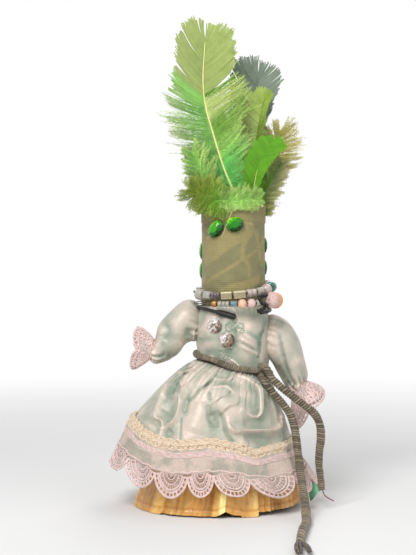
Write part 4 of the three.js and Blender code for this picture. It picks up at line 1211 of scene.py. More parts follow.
class DOLL_OT_head(bpy.types.Operator):
    """Damask head cloth with its folded top, and the glass stones on it"""

    bl_idname = "doll.head"
    bl_label = "Head"

    def execute(self, context):
        settings = context.scene.doll_head
        self.cloth(self.damask(settings))
        self.stones(settings.stone)
        self.inner()
        return {"FINISHED"}

    def damask(self, settings):
        finish = Finish("Head damask", Sheen_Weight=0.15, Specular_IOR_Level=0.35)
        ground = finish.mix(finish.drift(160), shaded(settings.ground, 0.82), settings.ground)
        leaf = finish.mix(finish.drift(220), shaded(settings.figure, 0.85), settings.figure)
        figure, woven = finish.attribute("figure"), finish.weave(230)
        threads = finish.ramp(woven, (0.0, (0.82, 0.82, 0.82)), (1.0, (1, 1, 1)))
        colour = finish.mix(0.6, finish.mix(figure, ground, leaf), threads, "MULTIPLY")
        return finish.complete(colour, (300, 0.55, 0.75), (finish.add(woven, figure, 0.5), 0.0004, 0.6))

    def cloth(self, damask):
        motif = 2 * math.pi * HEAD_R / DAMASK_MOTIFS

        def place(across, down):
            theta = round_doll(across)
            height = HEAD_FOOT + (HEAD_TOP - HEAD_FOOT) * (1 - down)
            band = HEAD_BAND - 1.2 * np.sin(theta) + 0.5 * np.sin(7 * theta)
            lap = wrapped(theta - HEAD_LAP)
            reach = HEAD_CLOTH_R + 0.5 * ease(height, band - 0.4, band + 0.4)
            reach = reach + 0.6 * ease(lap, -0.03, 0.03) * ease(-lap, -1.2, -0.1)
            reach = reach + 0.18 * ripple(theta, height / 12, 31, (3, 5, 8), 1.5)
            reach = reach + 0.25 * hill(height - HEAD_BAND + 3, 2.2) * np.sin(11 * theta)
            fray = np.where(down < 0.01, 0.5 * np.sin(23 * theta), 0)
            points = ring_point(theta, reach, height + fray)
            return press_folds(points, HEAD_FOLDS, unit(points * (1, 1, 0)))

        def marks(across, down, points):
            along = (round_doll(across) + math.pi / 2) * HEAD_R
            along = ((along + motif / 2) % motif - motif / 2) * 1.12
            height = points[..., 2]
            figure = ease(height, HEAD_BAND - 1, HEAD_BAND) * 0.7
            for width, line in DAMASK_FIGURE:
                gap, _ = from_stroke(along, height, line, 24)
                figure = np.maximum(figure, 1 - ease(gap, width - 1.0, width + 1.0))
            return {"figure": figure}

        head = sheet("head_damask", 300, 170, place, marks, span=(0.145, 0.075))
        keep(head, damask, nodes=["head_cloth"], slot="damask")

    def stones(self, green):
        finish = Finish("Green glass stone", Coat_Weight=0.12, Coat_Roughness=0.05, IOR=1.45,
                        Specular_IOR_Level=0.3, Transmission_Weight=0.1)
        tone = finish.add(finish.attribute("tone"), finish.drift(420, -0.5, 0.5), 0.15)
        # The stone colours are lit and shaded copies of the green: the darkest is painted shade, and bright
        # and lime are painted highlights.
        bright = shaded(green, (3, 1.9, 1.2), (0.03, 0, 0))
        lime = shaded(green, (8, 3.2, 2), (0.15, 0, 0))
        colour = finish.ramp(tone, (0.15, shaded(green, 0.16)), (0.5, green), (0.78, bright), (0.92, lime))
        glass = finish.complete(colour, (600, 0.05, 0.12), (finish.drift(500), 0.0002, 0.2))
        chance = np.random.default_rng(37)
        for name, (*size, roll) in STONES.items():
            gem = cut_stone(12, STONE_RINGS)
            bmesh.ops.triangulate(gem, faces=[f for f in gem.faces if len(f.verts) == 4])
            turn_outwards(gem)
            bmesh.ops.scale(gem, vec=size, verts=gem.verts)
            bmesh.ops.rotate(gem, cent=(0, 0, 0), matrix=Matrix.Rotation(roll, 3, "Z"), verts=gem.verts)
            reach = SIDE_STONE_R if "side" in name else HEAD_R
            piece = set_stone(name, gem, reach, 0.55, (-0.3, 0.12, 0.45), 0.12, chance)
            keep(piece, glass, nodes=[name], slot="green_glass")

    def inner(self):
        """Finishes of the solids that show as they are."""
        card = plain("Grey card", srgb(178, 168, 148), srgb(150, 140, 120), rough=(0.8, 0.95), scale=200)
        wadding = plain("White wadding", srgb(232, 228, 218), srgb(205, 200, 190), rough=(0.9, 1.0),
                        scale=350, grain=500, depth=0.002)
        nylon = plain("Bead thread", srgb(96, 90, 80), srgb(62, 58, 52), rough=(0.4, 0.6))
        for node, material in (("card_tube", card), ("base_plug", card), ("head_stuffing", wadding),
                               ("upper_strand_thread", nylon), ("lower_strand_thread", nylon)):
            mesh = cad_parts[node].data
            mesh.materials.clear()
            mesh.materials.append(material)


# Beads

# Each strand: the middle and lean of its ring; its front beads as name, form, length, radius and finish; the
# ring, length and radius of the beads behind and the finish of their first; the bare thread after them; and
# how much they taper, from which share of their run to which.
STRANDS = {
    "upper_strand": {
        "centre": (0.0, 0.0, 154.6), "lean": (-0.08, -0.137, 1.0),
        "front": (
            ("grey_round", "barrel", 7.6, 3.8, "grey"),
            ("grey_tube", "barrel", 6.4, 3.1, "grey"),
            ("purple_seed", "seeds", 6.2, 2.4, "purple"),
            ("olive_square", "square", 7.6, 2.5, "olive"),
            ("olive_long_square", "square", 8.4, 2.5, "olive"),
            ("pale_tube", "discs", 7.2, 3.0, "warm"),
            ("clear_tube", "barrel", 5.6, 2.8, "grey"),
            ("grey_large_round", "ball", 8.0, 4.0, "warm"),
        ),
        "ring": 27.55, "length": 8.8, "radius": 2.9, "first": "teal", "bare": 8.0, "taper": (0.6, 0.78, 0.9),
    },
    "lower_strand": {
        "centre": (1.5, -4.2, 145.6), "lean": (-0.02, -0.03, 1.0),
        "front": (
            ("gold", "ball", 4.6, 2.4, "gold"),
            ("grey_small_tube", "seeds", 8.2, 2.1, "grey"),
            ("blue", "barrel", 4.4, 2.1, "blue"),
            ("peach", "ball", 6.0, 3.3, "peach"),
            ("pink", "ball", 6.0, 3.3, "pink"),
            ("dark_grey", "barrel", 5.4, 2.4, "grey"),
            ("large_pink", "ball", 10.0, 5.7, "rough_pink"),
            ("large_orange", "ball", 9.0, 5.9, "orange"),
        ),
        "ring": 29.4, "length": 5.2, "radius": 1.9, "first": "grey", "bare": 41.0, "taper": (0.45, 0.5, 0.7),
    },
}
BEAD_SLOTS = {
    "grey": "grey_glass", "warm": "grey_glass", "purple": "purple_glass", "olive": "olive_glass",
    "gold": "gold_bead", "blue": "blue_glass", "peach": "peach_bead", "pink": "pink_bead",
    "rough_pink": "pink_bead", "orange": "orange_bead",
}
# How far a bead hangs from its solid
BEAD_NUDGE = {"large_pink": (3.2, -1.6, 1.8), "large_orange": (0.6, 0, 1.0)}
# The hole's radius, and the faces round a turned bead
BEAD_HOLE = 0.7
BEAD_STEPS = 24
# Room for the first and the last front bead beside the beads behind
END_ROOM = (8, 10)
# Beads made of a few rings on end
STACKED = {"seeds": 3, "discs": 2}
LEATHER_WRAP = (
    (26.4, -23.0, 150.8), (21.4, -28.4, 150.2), (17.6, -30.4, 149.4), (19.6, -31.6, 145.2),
    (22.8, -29.8, 143.4), (20.0, -30.6, 140.9), (16.4, -30.8, 139.6),
)


def barrel(length, radius, round_off=0.25):
    half = length / 2
    edge = min(round_off * radius * 2, half * 0.6)
    profile = [(BEAD_HOLE, half), (radius - edge, half)]
    for step in range(1, 7):
        bend = step / 6 * math.pi / 2
        profile.append((radius - edge + edge * math.sin(bend), half - edge + edge * math.cos(bend)))
    low = [(r, -z) for r, z in reversed(profile)]
    return turned(profile + low + [profile[0]])


def ball(length, radius):
    tilt = math.acos(min(1, BEAD_HOLE / radius))
    profile = []
    for angle in np.linspace(tilt, -tilt, 15):
        profile.append((radius * math.cos(angle), length / 2 * math.sin(angle) / math.sin(tilt)))
    return turned(profile + [profile[0]])


def square_bead(length, radius):
    bm = bmesh.new()
    bmesh.ops.create_cube(bm, size=1)
    bmesh.ops.scale(bm, vec=(radius * 2, radius * 2, length), verts=bm.verts)
    for height in (-0.55, 0.55):
        bmesh.ops.bisect_plane(bm, geom=bm.verts[:] + bm.edges[:] + bm.faces[:],
                               plane_co=(0, height * radius, 0), plane_no=(0, 1, 0))
    sharp = [e for e in bm.edges if e.calc_face_angle() > 0.5]
    bmesh.ops.bevel(bm, geom=sharp, offset=0.45, offset_type="OFFSET", affect="EDGES", segments=2,
                    profile=0.5, material=-1)
    return bm


def stacked_bead(length, radius, count):
    """A bead of a few rings on end, every second one a little smaller."""
    whole = bmesh.new()
    step = length / count
    for i in range(count):
        part = barrel(step - 0.15, radius * (1 - 0.1 * (i % 2)), round_off=0.3)
        bmesh.ops.translate(part, vec=(0, 0, (i - (count - 1) / 2) * step), verts=part.verts)
        add_part(whole, part)
    return whole


class DOLL_OT_beads(bpy.types.Operator):
    """Two strands of beads round the neck, and the black leather caught in one"""

    bl_idname = "doll.beads"
    bl_label = "Beads"

    def execute(self, context):
        finishes = self.finishes(context.scene.doll_beads)
        for strand, plan in STRANDS.items():
            for name, form, length, radius, glass in plan["front"]:
                piece = self.bead(plan, name, form, length, radius)
                keep(piece, finishes[glass], body=strand, nodes=[f"{name}_bead"], slot=BEAD_SLOTS[glass])
        for strand, plan in STRANDS.items():
            self.back_run(strand, plan, [finishes[glass] for glass in ("grey", "warm", plan["first"])])
        self.wrap(bpy.data.materials["Black leather cord"])
        return {"FINISHED"}

    def finishes(self, s):
        cloudy = (0.25, 0.4)
        return {
            "grey": glassy("Grey bead glass", s.grey, shaded(s.grey, 0.75), 0.1, cloudy),
            "warm": glassy("Pale bead glass", srgb(212, 196, 188), srgb(168, 150, 146), 0.1, cloudy),
            # The olive glass's palest colour is a painted highlight on the square beads' rims.
            "olive": toned("Olive bead glass", (0.0, shaded(s.olive, 0.7)), (0.6, s.olive),
                           (1.0, srgb(236, 228, 190)), rough=(0.08, 0.2), depth=0.0001, Coat_Weight=0.5,
                           Coat_Roughness=0.06, IOR=1.48, Transmission_Weight=0.2),
            "purple": glassy("Purple bead glass", s.purple, shaded(s.purple, 0.5), 0.25),
            "blue": glassy("Blue bead glass", srgb(120, 158, 168), srgb(78, 116, 128), 0.25),
            "teal": glassy("Teal bead glass", srgb(92, 150, 140), srgb(48, 98, 92), 0.3),
            "gold": plain("Gold bead", srgb(200, 150, 84), srgb(140, 92, 40), (0.2, 0.35), Metallic=0.7),
            "peach": plain("Peach bead stone", s.peach, shaded(s.peach, 0.82), (0.3, 0.45), Coat_Weight=0.3),
            "pink": plain("Pink bead stone", s.pink, shaded(s.pink, 0.84), (0.3, 0.45), Coat_Weight=0.3),
            "rough_pink": plain("Rough pink bead", srgb(232, 204, 198), srgb(196, 158, 154), (0.5, 0.7),
                                scale=700, grain=520, depth=0.0012),
            "orange": plain("Orange bead stone", srgb(244, 178, 120), srgb(226, 140, 76), (0.25, 0.4),
                            Coat_Weight=0.4),
        }

    def seat(self, plan, middle):
        """Turns a bead's own axis along its thread at a place on the strand."""
        up = Vector(plan["lean"]).normalized()
        out = Vector(middle) - Vector(plan["centre"])
        out = (out - up * out.dot(up)).normalized()
        turn = Matrix((out, up, up.cross(out))).transposed().to_4x4()
        return Matrix.Translation(Vector(middle)) @ turn

    def shape(self, form, length, radius):
        if form in STACKED:
            return stacked_bead(length, radius, STACKED[form])
        return {"square": square_bead, "ball": ball, "barrel": barrel}[form](length, radius)

    def bead(self, plan, name, form, length, radius):
        middle = middle_of(f"{name}_bead") + BEAD_NUDGE.get(name, (0, 0, 0))
        shape = self.shape(form, length, radius)
        rise = np.abs([v.co.y for v in shape.verts])
        piece = placed(f"{name}_bead_glass", shape, self.seat(plan, middle))
        if form == "square":
            # Painted highlight: the square bead is lighter towards its rims.
            paint(piece.data, "tone", 0.3 + 0.7 * ease(rise / rise.max(), 0.62, 0.8))
        return piece

    def back_run(self, strand, plan, glasses):
        """The plain beads behind, from where the front ones end, smaller towards the right shoulder."""
        ring, length, taper = plan["ring"], plan["length"], plan["taper"]
        ends = []
        for bead in (plan["front"][0], plan["front"][-1]):
            middle = middle_of(f"{bead[0]}_bead") - plan["centre"]
            ends.append(math.atan2(middle[1], middle[0]))
        start = ends[1] + 0.5 * (length + END_ROOM[1]) / ring
        stop = ends[0] + 2 * math.pi - (0.5 * (length + END_ROOM[0]) + plan["bare"]) / ring
        while stop - start > 2 * math.pi:
            stop -= 2 * math.pi
        count = int((stop - start) * ring / (length + 0.3))
        up = unit(np.array(plan["lean"]))
        runs = [bmesh.new() for _ in glasses]
        for i in range(count):
            share = (i + 0.5) / count
            angle = start + share * (stop - start)
            flat = ring * np.array([math.cos(angle), math.sin(angle), 0])
            flat[2] = -(flat @ up) / up[2]
            size = plan["radius"] * (1.35 if i == 0 else 1 if i % 3 else 0.9)
            part = barrel(length, size * (1 - taper[0] * ease(share, *taper[1:])))
            bmesh.ops.transform(part, matrix=self.seat(plan, flat + plan["centre"]), verts=part.verts)
            add_part(runs[i % 2 if i else 2], part)
        for i, glass in enumerate(glasses):
            piece = placed(f"{strand}_back_beads_{i + 1}", runs[i], Matrix.Identity(4))
            keep(piece, glass, body=strand, nodes=[f"{strand}_back_beads"], slot="grey_glass")

    def wrap(self, black):
        """Twisted black leather caught between the beads of the lower strand."""
        line = smooth_line(LEATHER_WRAP, 70)
        _, side, other = line_frames(line)
        lines = []
        for phase in (0, math.pi):
            turn = np.linspace(0, 40, 70)[:, None] + phase
            lines.append((line + 0.75 * (np.cos(turn) * side + np.sin(turn) * other), 0.8))
        piece = tubes("black_leather_wrap", lines, 1)
        keep(piece, black, body="lower_strand", slot="black_cord")


# Dress

# The two edges of the ribbon end
RIBBON_LEFT = ((50.0, -3.0, 24.0), (53.0, -4.0, 13.0), (55.4, -3.0, 2.2))
RIBBON_RIGHT = ((53.5, 3.0, 27.0), (58.5, 1.5, 19.0), (64.0, 0.0, 10.6))
# How far out the crystals sit, and their rings in the order of the stones'
CRYSTAL_R = BUST_R + 1.4
CRYSTAL_RINGS = ((5.5, 0.0, 0), (5.5, 1.0, 0), (4.1, 2.7, 0.5), (2.3, 3.6, 0))
# Patches of stitches as left, right, low, high and lean, and the line of stitches down the doll's left
STITCH_PATCHES = ((-5.5, 7.5, 126.0, 132.0, -0.12), (-10.5, -1.5, 105.6, 112.0, 0.1))
STITCH_ROWS = 5
STITCH_STEP = 1.7
STITCH_LINE = ((21.0, 126.2), (18.8, 120.1), (18.0, 112.0), (17.0, 107.0))


def bodice_creases(theta, share):
    return ripple(theta, share, 17, (7, 11, 13), 5.0)


class DOLL_OT_dress(bpy.types.Operator):
    """Bodice with its crystals and stitches, skirt, petticoat and ribbon end"""

    bl_idname = "doll.dress"
    bl_label = "Dress"

    def execute(self, context):
        s = context.scene.doll_dress
        mint = satin("Mint satin", s.satin_light, s.satin, s.satin_fold_shade)
        self.bodice(mint)
        self.skirt(mint)
        self.petticoat(satin("Gold satin", s.gold_light, s.gold, s.gold_fold_shade, rough=0.28))
        # The ribbon's light and deep colours are lit and shaded copies of its green: painted highlight and
        # painted shade.
        self.ribbon(satin("Green satin", shaded(s.ribbon, 1.3), s.ribbon, shaded(s.ribbon, 0.6)))
        self.crystals()
        self.stitches()
        return {"FINISHED"}

    def bodice(self, mint):
        def place(across, down):
            theta = round_doll(across)
            share = 1 - down
            reach = SKIRT_WAIST_R + (NECK_R - SKIRT_WAIST_R) * share
            reach = reach + (BUST_R - reach) * np.sin(math.pi * share) ** 0.8
            low = waist_height(SKIRT_WAIST_R * np.cos(theta)) - BODICE_TUCK
            height = low + (BODICE_TOP - low) * share
            seams = hill(share, 0.2) + hill(1 - share, 0.15)
            reach = reach + 0.3 * bodice_creases(theta, share)
            reach = reach + 0.2 * ripple(theta, share, 19, (31, 37, 43), 2.0) * seams
            points = ring_point(theta, reach, height)
            outward = normals(points)
            points = press_folds(points, BODICE_FOLDS, outward, 1.6)
            return swollen(points, BUST, outward)

        def marks(across, down, points):
            # Painted light and shade: the tone rises on the ridges of the bodice's creases and falls in their
            # hollows, and the drawn folds add theirs.
            base = 0.5 + 0.15 * bodice_creases(round_doll(across), 1 - down)
            return fold_light(points, BODICE_FOLDS, normals(points), base)

        piece = sheet("bodice_satin", 300, 100, place, marks, span=(0.165, 0.045))
        keep(piece, mint, nodes=["bodice"], slot="satin")

    def skirt(self, mint):
        def place(across, down):
            theta = round_doll(across)
            return skirt_surface(theta, down * (by_angle(BRAID_LINE, theta) + 0.16))

        def marks(across, down, points):
            theta = round_doll(across)
            # Painted light and shade: the tone rises on the ridges of the skirt's falls and gathers and falls
            # in their hollows, and the drawn folds add theirs.
            base = 0.5 + 0.2 * skirt_falls(theta, down) + 0.1 * skirt_gathers(theta, down) * hill(down, 0.45)
            return fold_light(points, SKIRT_FOLDS, normals(points), base)

        piece = sheet("skirt_satin", 520, 160, place, marks, span=(0.36, 0.09))
        keep(piece, mint, nodes=["skirt"], slot="satin")

    def petticoat(self, gold):
        def gathers(theta, down, crisp):
            wide = ripple(theta, down, 23, (8, 13, 21, 30), 1.0)
            fine = ripple(theta, down, 25, (61, 74, 89), 1.6) * by_angle(PETTICOAT_GATHERS, theta)
            turn = wrapped(theta)
            tuck = sum(np.where(turn < edge, np.exp((turn - edge) / 0.09), 0) for edge in PETTICOAT_TUCKS)
            return (0.9 * wide + crisp * fine + 2.0 * tuck) * ease(down, 0.2, 0.85)

        def place(across, down):
            theta = round_doll(across)
            out = ring_point(theta)
            points = bell(theta, down, PETTICOAT_WAIST_R, PETTICOAT_HEM, PETTICOAT_FLARE)
            relief = gathers(theta, down, 0.9) * (1 - 0.25 * ease(down, 0.95, 0.97))
            points = points + out * relief[..., None]
            points[..., 2] += by_angle(PETTICOAT_LIFT, theta) * ease(down, 0.7, 1.0)
            points[..., 2] = np.maximum(points[..., 2], PETTICOAT_HEM["z"])
            return points - out * (0.6 * hill(down - PETTICOAT_SEAM, 0.006))[..., None]

        def marks(across, down, points):
            # Painted light and shade: the tone rises on the gathers' ridges and falls in their hollows, and
            # it is darker along the seam.
            lift = gathers(round_doll(across), down, 0.35) - hill(down - PETTICOAT_SEAM, 0.008)
            return {"tone": np.clip(0.5 + lift / 5.2, 0, 1)}

        piece = sheet("petticoat_satin", 800, 100, place, marks, span=(0.34, 0.12))
        keep(piece, gold, nodes=["petticoat"], slot="gold_satin")

    def ribbon(self, green):
        edges = [smooth_line(line, 60) for line in (RIBBON_LEFT, RIBBON_RIGHT)]

        def wave(across, down):
            return np.sin(across * 7 + down * 3)

        def place(across, down):
            left, right = (read_line(line, np.linspace(0, 1, 60), down) for line in edges)
            points = left + (right - left) * across[..., None]
            points[..., 1] += 0.9 * wave(across, down)
            return points

        def marks(across, down, points):
            # Painted light and shade: the tone is lighter on the ribbon's wave crests and darker in its
            # troughs.
            return {"tone": 0.5 + 0.5 * wave(across, down)}

        piece = sheet("green_ribbon_satin", 20, 40, place, marks, span=(0.011, 0.024))
        keep(piece, green, nodes=["green_ribbon_end"], slot="green_satin")

    def crystals(self):
        finish = Finish("Clear crystal", IOR=1.5, Coat_Weight=0.25, Coat_Roughness=0.05)
        # Painted reflections and highlights: the clear crystal's facets run from dark brown to near white by
        # their tone.
        colour = finish.ramp(finish.attribute("tone"), (0.0, srgb(66, 50, 38)), (0.55, srgb(150, 128, 108)),
                             (0.8, srgb(226, 222, 222)))
        clear = finish.complete(colour, (700, 0.03, 0.1))
        chance = np.random.default_rng(41)
        for name in ("upper_crystal", "lower_crystal"):
            gem = cut_stone(10, CRYSTAL_RINGS)
            bmesh.ops.triangulate(gem, faces=gem.faces)
            piece = set_stone(name, gem, CRYSTAL_R, 0.36, (-0.49, -0.07, 0.245), 0.3, chance)
            keep(piece, clear, nodes=[name], slot="crystal")

    def stitches(self):
        """Green smocking stitches on the bodice, in rows that cross and one line."""
        chance = np.random.default_rng(43)
        lines = []
        for x0, x1, z0, z1, lean in STITCH_PATCHES:
            for z in np.linspace(z0, z1, STITCH_ROWS):
                for x in np.arange(x0, x1, STITCH_STEP):
                    if chance.uniform() < 0.25:
                        continue
                    tall = chance.uniform(0.7, 1.4) * chance.choice((-1, 1))
                    stops = []
                    for t in (-0.5, 0.0, 0.5):
                        across = x + 1.5 * t + chance.uniform(-0.2, 0.2)
                        high = z + tall * t + lean * (x - x0)
                        stops.append(self.on_bodice(across, high, 0.45 if t == 0 else 0.0))
                    lines.append((np.array(stops), 0.3))
        for x, z in smooth_line(STITCH_LINE, 16):
            stops = ((x - 1.1, z + chance.uniform(-0.9, 0.2), 0.1), (x, z, 0.6), (x + 0.9, z + 0.5, 0.1))
            lines.append((np.array([self.on_bodice(*stop) for stop in stops]), 0.26))
        green = plain("Green stitching", srgb(168, 190, 168), srgb(48, 104, 74))
        keep(tubes("bodice_stitches", lines), green, slot="green_satin")

    def on_bodice(self, x, z, lift):
        """The front of the bodice at a place across and up."""
        start = Vector((x * MM, -0.08, z * MM))
        hit, place, normal, _ = bpy.data.objects["bodice_satin"].ray_cast(start, Vector((0, 1, 0)))
        if not hit:
            raise RuntimeError("A stitch misses the bodice")
        return np.array(place + normal * (lift * MM)) / MM


# Lace and braid

# Where one scallop of the flounce meets the next, by the angle round the doll
SCALLOPS = (
    -3.0, -2.54, -2.13, -1.8, -1.55, -1.19, -0.668, -0.25, 0.17, 0.59, 1.01, 1.43, 1.86, 2.29, 2.74, 3.2832,
)
LACE_SPRING = 0.5
LACE_SIDE = math.radians(82)
# Threads round a scallop: share of the way out, zigzag and radius
FAN_ARCS = (
    (1.0, 0.0, 0.9), (0.8, 0.0, 0.8), (0.69, 0.0, 0.8), (0.57, 0.05, 0.42), (0.46, 0.0, 0.6),
    (0.36, 0.04, 0.42), (0.26, 0.0, 0.55), (0.15, 0.03, 0.45),
)
# Threads across a scallop: spread, shares of the way out and radius
FAN_SPOKES = ((0.96, (0.78, 0.9, 1.0), 0.66), (1.0, (0.46, 0.58, 0.7), 0.34))
# Threads of the heading: drop and radius
HEADING_THREADS = ((0.09, 0.6), (0.12, 0.5), (0.145, 0.5), (0.175, 0.55))
BRAID_LOOPS = 60


def scallop_turn(cell):
    """The angle round the doll of a place counted in scallops."""
    return np.interp(cell, np.arange(len(SCALLOPS)), SCALLOPS)


def flounce_at(theta, drop):
    """A point of the lace flounce, from its heading at drop 0 to its hem at drop 1."""
    theta, drop = np.broadcast_arrays(np.asarray(theta, float), np.asarray(drop, float))
    out = ring_point(theta, 1, 0.4)
    top = skirt_point(theta, by_angle(BRAID_LINE, theta) + 0.05) + out * 1.4
    points = top + (hem_point(theta, FLOUNCE_HEM) - top) * (drop * by_angle(LACE_REACH, theta))[..., None]
    wave = 1.6 * ripple(theta, drop, 51, (9, 13, 17), 0.6) * ease(drop, 0.0, 0.8)
    return points + out * wave[..., None]


def scallop_edge(cell):
    return LACE_SPRING + (1 - LACE_SPRING) * np.sqrt(np.maximum(0.02, 1 - ((cell % 1 - 0.5) / 0.5) ** 2))


def fan_lines(cell):
    """Threads of one scallop, as (place in scallops, drop, radius) lines."""
    lines = []
    wide, tall = 0.5 / math.sin(LACE_SIDE), 1 - LACE_SPRING

    def at(share, angle):
        return cell + 0.5 + wide * share * np.sin(angle), LACE_SPRING + tall * share * np.cos(angle)

    bend = np.linspace(-LACE_SIDE, LACE_SIDE, 41)
    for share, zigzag, radius in FAN_ARCS:
        lines.append((*at(share + zigzag * np.where(np.arange(41) % 2, 1, -1), bend), radius))
    for spread, shares, radius in FAN_SPOKES:
        for angle in np.linspace(-LACE_SIDE * spread, LACE_SIDE * spread, 13):
            lines.append((*at(np.array(shares), angle), radius))
    step = np.linspace(0, 1, 7)
    lines.append((cell + step, LACE_SPRING - 0.02 + 0.02 * np.cos(step * 12.6), 0.6))
    return lines


class DOLL_OT_lace(bpy.types.Operator):
    """Lace flounce with scallops, and the gimp braid above it"""

    bl_idname = "doll.lace"
    bl_label = "Lace and braid"

    def execute(self, context):
        s = context.scene.doll_dress
        self.flounce(lace_thread("Pink lace thread", s.lace), tulle("Lace net", s.net, 620, 0.86))
        self.braid(plain("Cream gimp cord", s.gimp, shaded(s.gimp, (0.82, 0.72, 0.64)), rough=(0.3, 0.45),
                         scale=620, grain=2400, Sheen_Weight=0.3))
        return {"FINISHED"}

    def flounce(self, thread, net):
        count = len(SCALLOPS) - 1

        def place(across, down):
            cell = across * count
            return flounce_at(scallop_turn(cell), down * scallop_edge(cell) * 0.985)

        def marks(across, down, points):
            cell = across * count
            drop = down * scallop_edge(cell)
            fan = np.hypot((cell % 1 - 0.5) / 0.5, np.maximum(drop - LACE_SPRING, 0) / (1 - LACE_SPRING))
            inside = ease(drop, LACE_SPRING, LACE_SPRING + 0.06) * ease(fan, 0.1, 0.25)
            theta = scallop_turn(cell)
            lined = ease(theta, -1.6, -1.5) * ease(-theta, 0.6, 0.75) * ease(-drop, -0.86, -0.8)
            return {"cover": np.clip(1.0 - 0.92 * inside * (1 - 0.95 * lined), 0.06, 1)}

        ground = sheet("flounce_net", count * 30, 44, place, marks, span=(0.42, 0.035))
        keep(ground, net, nodes=["lace_flounce"], slot="lace")
        lines = []
        for cell in range(count):
            for across, drop, radius in fan_lines(cell):
                lines.append((flounce_at(scallop_turn(np.clip(across, 0, count)), drop), radius))
        piece = tubes("flounce_threads", lines)
        keep(piece, thread, slot="lace")
        around = np.linspace(-math.pi, math.pi, 361)[:-1]
        heads = []
        for drop, radius in HEADING_THREADS:
            wobble = 0.006 * np.sin(around * 60 + drop * 200)
            heads.append((flounce_at(around, drop + wobble), radius))
        heading = tubes("flounce_heading", heads, closed=True)
        keep(heading, thread, slot="lace")

    def braid(self, gimp):
        """Two rows of looped cord that scroll along the skirt, with finer cords between and beside them."""
        around = np.linspace(-math.pi, math.pi, BRAID_LOOPS * 20 + 1)[:-1]
        wave = BRAID_LOOPS * around
        base = by_angle(BRAID_LINE, around)
        lines = []
        for sign, phase in ((-1, 0.0), (1, math.pi)):
            turn = around - 0.04 * np.sin(wave + phase)
            share = base + sign * (0.026 - 0.03 * np.cos(wave + phase))
            lines.append((self.on_skirt(turn, share, 1.5 + 0.5 * np.cos(wave + phase)), 0.8))
        for sign in (-1, 1):
            cords = (
                (sign * 0.012 + 0.006 * np.sin(wave * 2), 2.0, 0.6),
                (sign * (0.034 + 0.01 * np.sin(wave * 2 + 1)), 1.0, 0.75),
                (sign * (0.016 + 0.012 * np.sin(wave * 3)), 0.9, 0.9),
            )
            for aside, lift, radius in cords:
                lines.append((self.on_skirt(around, base + aside, lift), radius))
        keep(tubes("gimp_braid_cords", lines, closed=True), gimp, nodes=["gimp_braid"], slot="gimp")

    def on_skirt(self, theta, share, lift):
        out = unit(ring_point(theta, 1, 0.5))
        return skirt_point(theta, share) + out * np.broadcast_to(lift, theta.shape)[:, None]


# Sleeves

# Each sleeve: its rings and folds; where the blend from the body to the arm starts and ends, in metres; and
# its cuff's direction, reach, spread and tilt
SLEEVES = {
    "right": {
        "rings": RIGHT_SLEEVE_RINGS, "folds": RIGHT_SLEEVE_FOLDS,
        "start": (-0.0235, 0, 0.128), "end": (-0.036, 0, 0.127),
        "aim": (-0.99, 0.12), "reach": 16.0, "spread": 2.05, "tilt": 0.2,
    },
    "left": {
        "rings": LEFT_SLEEVE_RINGS, "folds": LEFT_SLEEVE_FOLDS,
        "start": (0.0235, 0, 0.122), "end": (0.036, 0, 0.118),
        "aim": (0.46, -0.89), "reach": 21.5, "spread": 2.3, "tilt": -0.05,
    },
}
# Places along a sleeve, how full it is before the air, the size of its first faces, and how the air swells it
STATIONS = np.linspace(0, 1, 120)
SLEEVE_SLACK = 0.95
SLEEVE_FACE = 2.6
AIR = {
    "quality": 5, "mass": 0.2, "use_pressure": True, "uniform_pressure_force": 4,
    "vertex_group_mass": "Held",
}
AIR_FRAMES = 20
AIR_REACH = 2.5
CUFF_LOBES = 4
# Threads round a cuff: share of the way to its edge and radius
CUFF_RINGS = ((1.0, 0.75), (0.8, 0.65), (0.2, 0.5), (0.12, 0.8), (0.06, 0.8))


def settle(piece):
    """Keeps the result of a piece's modifiers as its mesh."""
    bpy.context.view_layer.update()
    mesh = bpy.data.meshes.new_from_object(piece.evaluated_get(bpy.context.evaluated_depsgraph_get()))
    old = piece.data
    piece.modifiers.clear()
    piece.data = mesh
    mesh.name = piece.name
    bpy.data.meshes.remove(old)


def triples(rows, key):
    """Three numbers from each row of a mesh's data."""
    flat = np.empty(len(rows) * 3, np.float32)
    rows.foreach_get(key, flat)
    return flat.reshape(-1, 3)


def points_of(mesh):
    return triples(mesh.vertices, "co") / MM


def fill_with_air(piece, held):
    """Swells a closed cloth form, holding some of its points and capping how far any other moves."""
    scene = bpy.context.scene
    start = points_of(piece.data)
    group = piece.vertex_groups.new(name="Held")
    for index in np.flatnonzero(held > 0.01).tolist():
        group.add([index], float(held[index]), "REPLACE")
    cloth = piece.modifiers.new("Air", "CLOTH")
    for key, value in AIR.items():
        setattr(cloth.settings, key, value)
    cloth.settings.effector_weights.gravity = 0
    cloth.point_cache.frame_start = 1
    cloth.point_cache.frame_end = AIR_FRAMES
    for number in range(1, AIR_FRAMES + 1):
        scene.frame_set(number)
    shaped = piece.evaluated_get(bpy.context.evaluated_depsgraph_get())
    move = points_of(shaped.data) - start
    far = np.linalg.norm(move, axis=1, keepdims=True)
    swollen = start + move * np.minimum(1, AIR_REACH / np.maximum(far, 1e-6))
    piece.modifiers.clear()
    piece.vertex_groups.clear()
    lay(piece.data, swollen)
    scene.frame_set(1)


